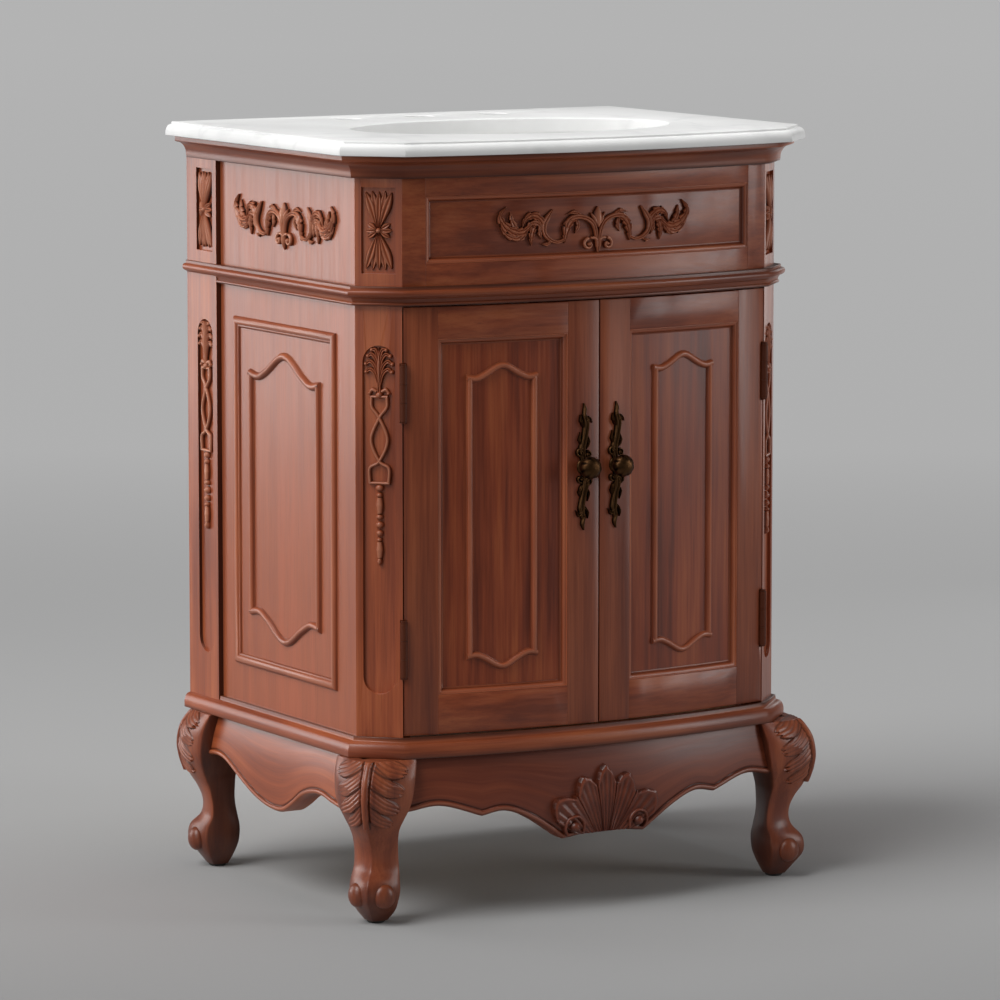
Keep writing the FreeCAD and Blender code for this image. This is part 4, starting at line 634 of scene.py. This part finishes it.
mirrored = [[(1 - a, b) for a, b in stretch[::-1]] for stretch in FRONT_WAVES[1::-1]]
front_edge = hung(FRONT_DROP, -ARRIS, ARRIS, *FRONT_WAVES, *mirrored)
side_edge = hung(SIDE_DROP, -REAR_FOOT_Y, -FOOT_Y, SIDE_WAVE)
front_face = [apron(front_edge, -APRON_HALF, APRON_HALF, FRONT_DROP, on_bow)]
side_face = [apron(side_edge, -REAR_FOOT_Y, -FOOT_Y, SIDE_DROP, on_side)]
piece("apron_front_face", front_face, "carcass", ["apron_front"], shaded_apron_wood)
piece("apron_left_face", side_face, "carcass", ["apron_left"], stained)
piece("apron_right_face", mirror(side_face), "carcass", ["apron_right"], stained)


# Carving: straps, leaves, domes and curls laid on a surface

# How far the edges of carving go into the ground
FOOTING = -0.8


def sunk_into(lay, depth):
    """A surface set back by a depth."""
    return lambda u, z, h: lay(u, z, h - depth)


def strap(line, half, tall, lay, reeds=0, steps=44):
    """A moulded band along a smooth line: half width and height run evenly along it, and the section is a
    flattened half ellipse scored with reeds."""
    path = curve(line, steps)
    t = np.linspace(0, 1, steps)
    half, tall = (np.interp(t, np.linspace(0, 1, len(row)), row)[:, None] for row in (half, tall))
    ahead = np.gradient(path, axis=0)
    ahead /= np.hypot(*ahead.T)[:, None] + 1e-9
    aside = np.stack([-ahead[:, 1], ahead[:, 0]], 1)[:, None]
    v = np.sin(np.linspace(-1, 1, 19) * np.pi / 2)
    score = 0.5 - 0.5 * np.cos(np.pi * reeds * (v + 1)) if reeds else np.ones_like(v)
    height = tall * np.clip(1 - v ** 2, 0, 1) ** 0.35 * (0.62 + 0.38 * score)
    height[:, 0] = height[:, -1] = FOOTING
    place = path[:, None] + (half * v)[..., None] * aside
    # Painted shade at the edges and in the reeds, painted highlight on the crown; bronze takes them as patina
    # and wear
    dark = 0.8 * np.abs(v) ** 6 + 0.4 * (1 - score) ** 2 - 0.8 * score * (1 - v ** 2)
    return grid(lay(place[..., 0], place[..., 1], height), True, dark)


def leaf(line, wide, tall, lay, lobes=0, reeds=2, swell=0.75):
    """A strap that swells from its root and comes to a point, its edge stepped into lobes by a saw tooth.
    Its half width is a sine, widest where its length to the power of swell is a half."""
    t = np.linspace(0, 1, 66)
    half = wide * np.clip(np.sin(np.pi * t ** swell), 0, 1) ** 0.8
    half = half * (1 - 0.5 * (t * lobes % 1) ** 1.5)
    rise = tall * (0.5 + 0.5 * np.sin(np.pi * (t * 0.85 + 0.15)))
    return strap(line, np.maximum(half, 0.35), rise, lay, reeds, len(t))


def dome(spot, radii, tall, lay):
    """Half an ellipsoid standing on the surface."""
    rise, spin = np.meshgrid(np.linspace(0, 1.54, 10), np.linspace(0, 2 * np.pi, 29)[:-1], indexing="ij")
    waves = (np.cos(spin), np.sin(spin))
    across, up = (spot[k] + radii[k] * np.cos(rise) * waves[k] for k in (0, 1))
    height = np.where(rise == 0, FOOTING, tall * np.sin(rise))
    # Painted shade at its foot, painted highlight on its top
    return grid(lay(across, up, height), True, 0.7 * (1 - np.sin(rise)) ** 3 - 0.7 * np.sin(rise) ** 4)


def curl(spot, radius, start, turns, half, tall, lay):
    """A scroll: a strap along a spiral whose radius shrinks evenly to three tenths, a button in its eye."""
    angle = np.radians(start) + np.linspace(0, 2 * np.pi * turns, 16)
    reach = np.linspace(radius, radius * 0.3, 16)
    line = np.stack([spot[0] + reach * np.cos(angle), spot[1] + reach * np.sin(angle)], 1)
    return [strap(line, [half, half * 0.7], [tall * 0.8, tall], lay),
            dome(spot, (half * 1.2, half * 1.2), tall * 1.15, lay)]


def swag(lay, middle, level, wide=1.0):
    """Scrolling foliage about a budded stem; one half is written and both are laid."""
    made = [leaf([(middle, level + v) for v in (2, 14, 26)], 6.8, 7.6, lay, 0, 1, 0.9),
            leaf([(middle, level + v) for v in (-8, -18, -28)], 3.8, 6.4, lay)]
    for way in (-1, 1):
        def at(*points):
            return [(middle + way * wide * u, level + v) for u, v in points]
        made += [
            strap(at((1.6, -20), (2.4, -8), (5, 3), (11, 10.4), (22, 14.6), (34, 14), (45, 7)),
                  [2.2, 2.6, 3.2, 3.4, 3.4, 3.6, 1], [5.4, 6, 6.4, 6.4, 6, 6, 4], lay, 2),
            leaf(at((1, 4), (5, 12), (9.5, 19)), 3.6, 6, lay, 0, 1),
            leaf(at((27, 15), (38, 8), (42.5, -3), (43.5, -15)), 6.6, 6.2, lay, 4, 3),
            leaf(at((28, 12), (26.5, 4), (30, -4)), 3.8, 4.6, lay, 2),
            leaf(at((20, 14), (30, 20), (41, 18)), 3.2, 4.8, lay, 2),
            strap(at((43, -10), (52, -13), (61, -11), (69, -4), (70.6, 6), (66, 15), (59, 24)),
                  [1.8, 2.4, 2.6, 3.2, 4.2, 4, 0.8], [4.6, 5.2, 5.4, 5.6, 6, 5.6, 3.6], lay, 2),
            leaf(at((69, -2), (73, 11), (83, 18), (93, 15), (98, 5)), 6.2, 6.2, lay, 5, 3),
            leaf(at((72, 2), (79, 9), (88, 9), (92, 1)), 4.2, 5, lay, 3),
            leaf(at((80, 12), (85, 2), (86.5, -6), (86, -16)), 5.6, 5.6, lay, 4, 3),
            leaf(at((75, 8), (76, -1), (73, -9)), 3.8, 4.8, lay, 2),
            leaf(at((60, -10), (66, -15), (74, -14)), 3, 4.4, lay, 2),
            leaf(at((86, 8), (98, 0), (110, 1), (121, 9), (125.5, 19), (118, 29)), 7.4, 6.6, lay, 6, 3),
            leaf(at((93, 1), (105, -7), (117, -3), (125, 6)), 4.6, 5, lay, 4),
            leaf(at((103, 2), (110, 11), (113, 23)), 4.6, 5.6, lay, 3),
            leaf(at((91, 2), (97, -6), (104, -11)), 3.6, 4.6, lay, 2),
            strap(at((2, -12), (5, -10), (10, -10)), [2, 1.6], [5.4, 5], lay)]
        made += curl((middle + way * 12.5 * wide, level - 17), 6.8, 90, -way * 0.9, 2, 6, lay)
    return made


def pendant(face):
    """A fan of curled leaflets over crossing straps, then beads and rods down to a drop."""
    lay = sunk_into(face, RECESS)
    made = [strap([(0, 600), (0, 612), (0, 634)], [4.2, 2.6, 1.8], [5, 5.4, 5], lay, 2),
            dome((0, 602), (4.4, 4.4), 7, lay),
            leaf([(0, 614), (0, 636), (0, 656)], 2.8, 6.4, lay, 0, 1)]
    plumes = [[(0, 610), (4, 625), (10, 631), (15, 628)], [(0, 617), (4, 633), (10, 640), (15.4, 637)],
              [(0, 624), (3, 641), (8, 648), (13, 646)], [(0, 630), (1.6, 646), (4.4, 653), (8.4, 653)]]
    for way in (-1, 1):
        def at(*points):
            return [(way * u, z) for u, z in points]
        for plume in plumes:
            made += [strap(at(*plume), [1.6, 2.5, 2.7, 2], [4.4, 5.6, 5.6, 5], lay, 2),
                     dome(at(plume[-1])[0], (2.6, 2.6), 5.8, lay)]
        made += [strap(at((3, 606), (8, 608), (11.4, 604)), [2, 2.4, 1.6], [5, 5, 4.4], lay),
                 dome(at((11, 604))[0], (2.4, 2.4), 5.4, lay),
                 strap(at((-9, 600), (-8.6, 588), (0, 576), (9.6, 551), (0, 527), (-11, 519), (-11, 503)),
                       [2.1, 2.1], [4.6, 5], lay, 0, 90)]
    made += [strap([(-end, z), (end, z)], [half, half], [4.6, 4.6], lay)
             for end, z, half in ((10, 600, 1.8), (12, 502, 1.9))]
    made += [dome((0, z), (wide, tall), 6, lay)
             for z, wide, tall in ((496.5, 5, 4.4), (488.5, 3.8, 3.4), (463.5, 4.2, 3.6), (454.5, 5, 4.6),
                                   (445, 4.4, 4), (437.6, 3.2, 2.8), (413, 3, 5))]
    made += [strap([(0, z), (0, z - 9), (0, z - 18)], [3.2, 4.6, 3.2], [5, 5.6, 5], lay)
             for z in (485.5, 435)]
    return made


def sheaf(face, level=787.5):
    """Two bundles of pointed leaves, up and down, bound by a small flower."""
    lay = sunk_into(face, RECESS)
    # Tip's place across, reach up or down, half width and height of each leaf
    leaves = ((-7.6, 44.5, 5, 5), (7.6, 44.5, 5, 5), (0, 44, 4.8, 6.4), (-15, 43, 5.6, 6.6),
              (15, 43, 5.6, 6.6))
    made = []
    for up in (-1, 1):
        for tip, reach, half, tall in leaves:
            line = [(tip * 0.1, level + up * 3), (tip * 0.52, level + up * 23), (tip, level + up * reach)]
            made.append(leaf(line, half, tall, lay, 0, 2, 1.35))
    for turn in np.radians((0, 32, -32, 148, 180, 212)):
        petal = [(far * math.cos(turn), level + far * math.sin(turn)) for far in (2, 15)]
        made.append(leaf(petal, 3.6, 6.4, lay, 0, 2, 1.3))
    return made + [dome((0, level), (3.4, 3.4), 7.4, lay)]


def on_apron(u, z, h):
    """The swelled face of the front apron: the bow moved out by the apron's parabola."""
    return on_bow(u, z, apron_face(np.asarray(z, float), FRONT_DROP) + h)


def shell():
    """A fan of five round-headed lobes about a focus below the apron, with a knob in a scroll at each lower
    corner. The reach swings between cusps by a power of the place in the lobe; each lobe is dished inside a
    rolled rim and reeded."""
    focus, foot = 66, 88
    angle = np.radians(np.linspace(-60, 60, 420))
    tips, reaches = np.radians((-46, -19, 0, 19, 46)), np.array((92, 94, 101, 94, 92))
    bounds, halves = np.radians((0, 9.4, 9.41, 31, 31.01, 60)), np.radians((9.4, 9.4, 9.6, 12, 15, 14))
    near = np.abs(angle[:, None] - tips).min(1) / np.interp(np.abs(angle), bounds, halves)
    near = np.clip(near, 0, 1)[:, None]
    start = ((foot - focus) / np.cos(angle))[:, None]
    reach = np.interp(angle, tips, reaches)[:, None] * (1 - 0.21 * near ** 1.55)
    share = np.concatenate([[0, 0.01], np.linspace(0.02, 0.97, 64), [0.985, 1]])
    radius = start + (reach - start) * share
    reed = 0.5 + 0.5 * np.cos(4 * np.pi * near)
    rim = np.maximum(bell(share, 0.93, 0.05), bell(near, 0.86, 0.13) * np.clip(share / 0.7 - 0.35, 0, 1))
    height = 5.2 + 1.3 * reed * (1 - rim) + 2.2 * rim - 1.4 * (1 - share) ** 2 + 1.2 * (1 - near)
    height = height - 2.4 * bell(near, 1, 0.05)
    height[:, 0] = height[:, -1] = FOOTING
    # Painted shade in the reeds, the notches and along the outer edge, painted highlight on the rims
    dark = 0.1 + 0.3 * (1 - reed) ** 1.5 * (1 - rim) - 0.1 * rim
    dark = dark + 0.5 * bell(near, 1, 0.07) + 0.5 * (share > 0.98)
    across, up = radius * np.sin(angle[:, None]), focus + radius * np.cos(angle[:, None])
    made = [grid(on_apron(across, up, height), True, dark)]
    scroll = ((30.5, 91), (31, 102), (39, 109.6), (50, 107), (54, 97), (50, 88))
    for way in (-1, 1):
        corner = [dome((way * 42, 98), (7.4, 7.4), 13, on_apron),
                  strap([(way * u, z) for u, z in scroll], [2.2, 2.6, 2], [8.2, 9.8, 7], on_apron)]
        # The corner knobs are made darker, but for their hollows
        made += crown_light(corner, -0.7)
    return made


def handle(middle, level):
    """A slender scrolled backplate, the same when turned half a turn, and a ball knob on a neck: a smooth
    profile turned about its axis, sunk by the cube of a cosine whose eight waves lean as they go out."""
    made = [dome((middle, level), (8.6, 9.6), 4, on_bow)]
    for way in (-1, 1):
        def at(*points):
            return [(middle + way * u, level + way * v) for u, v in points]
        half_turn = 90 - way * 90
        made += [strap(at((0, 6), (-2.4, 19), (1, 34), (3, 49), (0, 61)), [3.8, 5.2, 4.2, 5, 3],
                       [4, 5, 5, 5, 4], on_bow, 2),
                 leaf(at((1, 46), (6, 55), (11, 50)), 3.2, 5, on_bow, 2),
                 leaf(at((1, 44), (-4, 52), (-5, 60)), 2.6, 5, on_bow, 2),
                 strap(at((0, 58), (1.4, 66), (0, 73)), [2.6, 3, 0.8], [5, 4.6, 3], on_bow, 1),
                 leaf(at((2, 20), (6, 28), (4, 38)), 2.6, 4.6, on_bow, 2),
                 leaf(at((-2, 24), (-6, 30), (-5, 40)), 2.2, 4.4, on_bow, 2)]
        made += curl(at((-5, 16))[0], 5.4, 60 + half_turn, 1.2, 1.5, 5, on_bow)
        made += curl(at((5, 14))[0], 4.2, 110 + half_turn, -1.1, 1.3, 5, on_bow)
    outline = curve([(6.6, 1), (5, 5), (5.2, 8), (10, 10), (13, 16), (11.4, 22), (6.4, 26), (0.4, 27)], 60)
    spin = np.linspace(0, 2 * np.pi, 97)[:-1]
    out = outline[:, 1:]
    swirl = ease(out, 9, 13) * (1 - ease(out, 21, 27)) * (0.5 + 0.5 * np.cos(8 * spin + out * 0.22)) ** 3
    radius = outline[:, :1] - 0.7 * swirl
    across, up = middle + radius * np.cos(spin), level + radius * np.sin(spin)
    return made, [grid(on_bow(across, up, np.broadcast_to(out, radius.shape)), True, swirl)]


SWAG_LEVEL, SIDE_MIDDLE, SIDE_WIDE = 782.0, -10.65, 0.94
# Crowns of the carvings get painted highlight: 0.4 on the front swag up to 0.9 on the side swags
front_swag = crown_light(swag(sunk_into(on_bow, SUNK), 0, SWAG_LEVEL), 0.4)
left_swag = crown_light(swag(on_side, SIDE_MIDDLE, SWAG_LEVEL, SIDE_WIDE), 0.9)
left_carving = pendant(on_cant) + crown_light(sheaf(on_cant), 0.3)
left_carving += crown_light(pendant(on_stile) + sheaf(on_stile), 0.7)
piece("swag_front_carving", front_swag, "carcass", ["swag_front"], stained, 60)
piece("swag_side_carvings", left_swag + mirror(left_swag), "carcass", ["side_swags"], stained, 60)
piece("carving_left", left_carving, "carcass", ["carvings_left"], stained, 60)
piece("carving_right", mirror(left_carving), "carcass", ["carvings_right"], stained, 60)
piece("shell_carving", shell(), "carcass", ["apron_shell"], shaded_apron_wood, 60)


# Other materials

def marble():
    """Polished white marble: a ground with clouds of 167 mm and a few thin grey veins about 238 mm apart,
    which drift by a share of a 200 mm noise."""
    made, add, wire = material("white_marble", {"Roughness": 0.28, "Specular IOR Level": 0.05})
    spot = add("TexCoord", {}, 3)
    cloud = add("TexNoise", {"Vector": spot, "Scale": 1000 / 166.7, "Detail": 5.0})
    swirl = add("TexNoise", {"Vector": spot, "Scale": 1000 / 200, "Detail": 6.0}, 1)
    drift = add("MixRGB", {"Fac": 0.14, "Color1": spot, "Color2": swirl})
    vein = add("TexNoise", {"Vector": drift, "Scale": 1000 / 238.1, "Detail": 3.0})
    aside = add("Math", {0: vein, 1: 0.5}, operation="SUBTRACT")
    near = add("Math", {0: aside}, operation="ABSOLUTE")
    thin = add("MapRange", {"Value": near, "From Max": 0.02, "To Min": 0.16, "To Max": 0.0})
    ground = add("ValToRGB", {"Fac": cloud}, stops=[(0.35, "#e9e9e8"), (0.5, "#f1f1f0"), (0.65, "#f5f5f4")])
    wire("Base Color", add("MixRGB", {"Fac": thin, "Color1": ground, "Color2": linear("#b9b9bb")}))
    return made


def bronze():
    """Patinated bronze: bright on the worn crowns and dark in the hollows, tarnished in 11 mm clouds."""
    made, add, wire = material("antique_bronze", {"Metallic": 1.0})
    tarnish = add("TexNoise", {"Vector": add("TexCoord", {}, 3), "Scale": 1000 / 11.11, "Detail": 5.0})
    shading_and_patina = add("Attribute", {}, 2, attribute_name="shading_and_patina")
    hollow = add("Math", {0: tarnish, 1: 0.3, 2: shading_and_patina}, operation="MULTIPLY_ADD")
    bright, dark = linear("#523822"), linear("#180f09")
    wire("Base Color", add("MixRGB", {"Fac": hollow, "Color1": bright, "Color2": dark}))
    wire("Roughness", add("MapRange", {"Value": tarnish, "From Min": 0.3, "From Max": 0.7,
                                       "To Min": 0.28, "To Max": 0.48}))
    return made


def plain(name, shade, rough, **more):
    """An even material with a faint mottle of 6.25 mm in its roughness."""
    sockets = {key.replace("_", " "): value for key, value in more.items()}
    made, add, wire = material(name, {"Base Color": linear(shade), **sockets})
    mottle = add("TexNoise", {"Vector": add("TexCoord", {}, 3), "Scale": 1000 / 6.25, "Detail": 3.0})
    wire("Roughness", add("MapRange", {"Value": mottle, "From Min": 0.3, "From Max": 0.7,
                                       "To Min": rough * 0.9, "To Max": rough * 1.1}))
    return made


def studio_floor():
    """Matt grey paint that gets a little lighter away from the camera, over about 20 m, as painted light."""
    made, add, wire = material("pale_floor", {"Roughness": 0.9, "Specular IOR Level": 0.1})
    spot = add("TexCoord", {}, 3)
    ahead = add("VectorMath", {0: spot, 1: (0.508, 0.861, 0.0)}, 1, operation="DOT_PRODUCT")
    share = add("MapRange", {"Value": ahead, "From Min": -2.0, "From Max": 20.0})
    wire("Base Color", add("ValToRGB", {"Fac": share},
                           stops=[(0.0, "#858585"), (0.28, "#d8d8d8"), (1.0, "#dedede")]))
    return made


# Handles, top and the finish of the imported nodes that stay

HANDLE_MIDDLE, HANDLE_LEVEL = 21.5, sum(levels("left_door_backplate")) / 2
cast = bronze()
for word, way in (("left", -1), ("right", 1)):
    plate, knob = handle(way * HANDLE_MIDDLE, HANDLE_LEVEL)
    piece(f"{word}_handle_plate", plate, f"{word}_door", [f"{word}_door_backplate"], cast, 60)
    piece(f"{word}_handle_knob", knob, f"{word}_door", [f"{word}_door_knob"], cast, 60)
piece("marble_top", slab, "carcass", ["countertop"], marble(), 30)

stiles = ["rear_stile_left", "rear_stile_right"]
bevelled = {
    upright_wood: ["front_post_left", "front_post_right"] + stiles,
    shaded_wood: ["left_door_stiles", "right_door_stiles"],
    side_wood: ["side_panel_left", "side_panel_right"],
    shaded_cross_wood: ["frieze_frame", "frieze_panel", "left_door_rails", "right_door_rails", "apron_back"],
}
# Birch plywood under a thin varnish: pale and nearly matt
birch = wood("birch_inside", 0, ("#c3a67a", "#cfb286", "#d9bf95"), 0.5, 0.05)
finishes = {
    **bevelled,
    shaded_panel_wood: ["left_door_panel", "right_door_panel"],
    birch: ["bottom_panel", "back_panel", "back_rails", "corner_blocks"],
    # Glazed china: sharp highlights over a white body
    plain("white_ceramic", "#f6f6f5", 0.08, Coat_Weight=0.5, Coat_Roughness=0.03): ["basin"],
    # Enamelled steel, toned to the wood: even, without a bright highlight
    plain("brown_enamel", "#552714", 0.5, Specular_IOR_Level=0.2): [
        "hinge_frame_leaves", "hinge_pins", "left_door_hinge_leaves", "right_door_hinge_leaves"],
    # Zinc-plated steel: pale and half blurred
    plain("zinc_steel", "#d3d6d8", 0.34, Metallic=1.0): [
        "basin_clips", "left_door_strike", "right_door_strike"],
    # Moulded plastic: dark satin
    plain("brown_plastic", "#463327", 0.5): ["magnet_catch"],
    # Pressed felt: dark and matt
    plain("felt_glide", "#33302d", 0.8): ["foot_glides"],
}
for finish, names in finishes.items():
    for name in names:
        nodes[name].data.materials.clear()
        nodes[name].data.materials.append(finish)
for name in sum(bevelled.values(), []):
    nodes[name].modifiers.new("weld", "WELD").merge_threshold = 1e-5
    edge = nodes[name].modifiers.new("eased_edge", "BEVEL")
    edge.width, edge.segments, edge.limit_method = 0.0008, 2, "ANGLE"
    edge.angle_limit, edge.harden_normals = math.radians(40), True
# Painted shade on the narrow faces of the rear stiles that are turned to the front
for name in stiles:
    mesh = nodes[name].data
    facing = np.zeros((len(mesh.polygons), 3), np.float32)
    mesh.polygons.foreach_get("normal", facing.ravel())
    shading_and_patina = 0.95 * ease(-facing[:, 1], 0.4, 0.9)
    mesh.attributes.new("shading_and_patina", "FLOAT", "FACE").data.foreach_set("value", shading_and_patina.astype(np.float32))


# Floor, camera and studio light

def placed(name, data, spot, way):
    """A lamp or camera at a spot, turned to look along a way."""
    thing = bpy.data.objects.new(name, data)
    thing.location = spot
    thing.rotation_euler = Vector(way).to_track_quat("-Z", "Y").to_euler()
    bpy.context.scene.collection.objects.link(thing)
    return thing


def lamp(name, spot, aim, size, power):
    """A gridded soft box of a given width and height in metres, aimed at a point."""
    light = bpy.data.lights.new(name, "AREA")
    light.shape = "RECTANGLE"
    light.size, light.size_y = size
    light.energy = power
    light.spread = math.radians(110)
    placed(name, light, spot, Vector(aim) - Vector(spot))


scene = bpy.context.scene
bpy.ops.mesh.primitive_plane_add(size=120, location=(0, 0, 0))
floor = bpy.context.object
floor.name = "floor"
floor.data.materials.append(studio_floor())

EYE, TARGET = Vector((-3.29408, -5.58570, 1.29176)), Vector((-0.01860, -0.02687, 0.45067))
optics = bpy.data.cameras.new("camera")
optics.lens, optics.sensor_width = 199.56, 36
scene.camera = placed("camera", optics, EYE, TARGET - EYE)

sun = bpy.data.lights.new("key_sun", "SUN")
sun.energy, sun.angle = 2.05, math.radians(38)
placed("key_sun", sun, (0, 0, 0), (0.63, 0.05, -0.775))
lamp("back_left_panel", (-1.9, 2.2, 0.9), (-0.28, 0.05, 0.7), (1.6, 1.4), 10.3)
lamp("front_right_panel", (2.1, -1.95, 1.15), (0.1, -0.2, 0.62), (0.9, 1.7), 7.8)
lamp("left_panel", (-2.5, -0.7, 1.0), (-0.28, -0.1, 0.6), (1.4, 1.4), 3.2)
lamp("over_top", (0, 0, 2.3), (0, 0, 0.9), (0.9, 0.7), 4.2)
lamp("back_right_panel", (2.2, 1.3, 1.05), (0.25, -0.15, 0.6), (0.8, 1.7), 1.4)
world = bpy.data.worlds.new("studio")
world.use_nodes = True
backdrop = world.node_tree.nodes["Background"].inputs
backdrop["Color"].default_value = linear("#b4b4b4")
backdrop["Strength"].default_value = 0.28
scene.world = world
scene.view_settings.view_transform = "Standard"
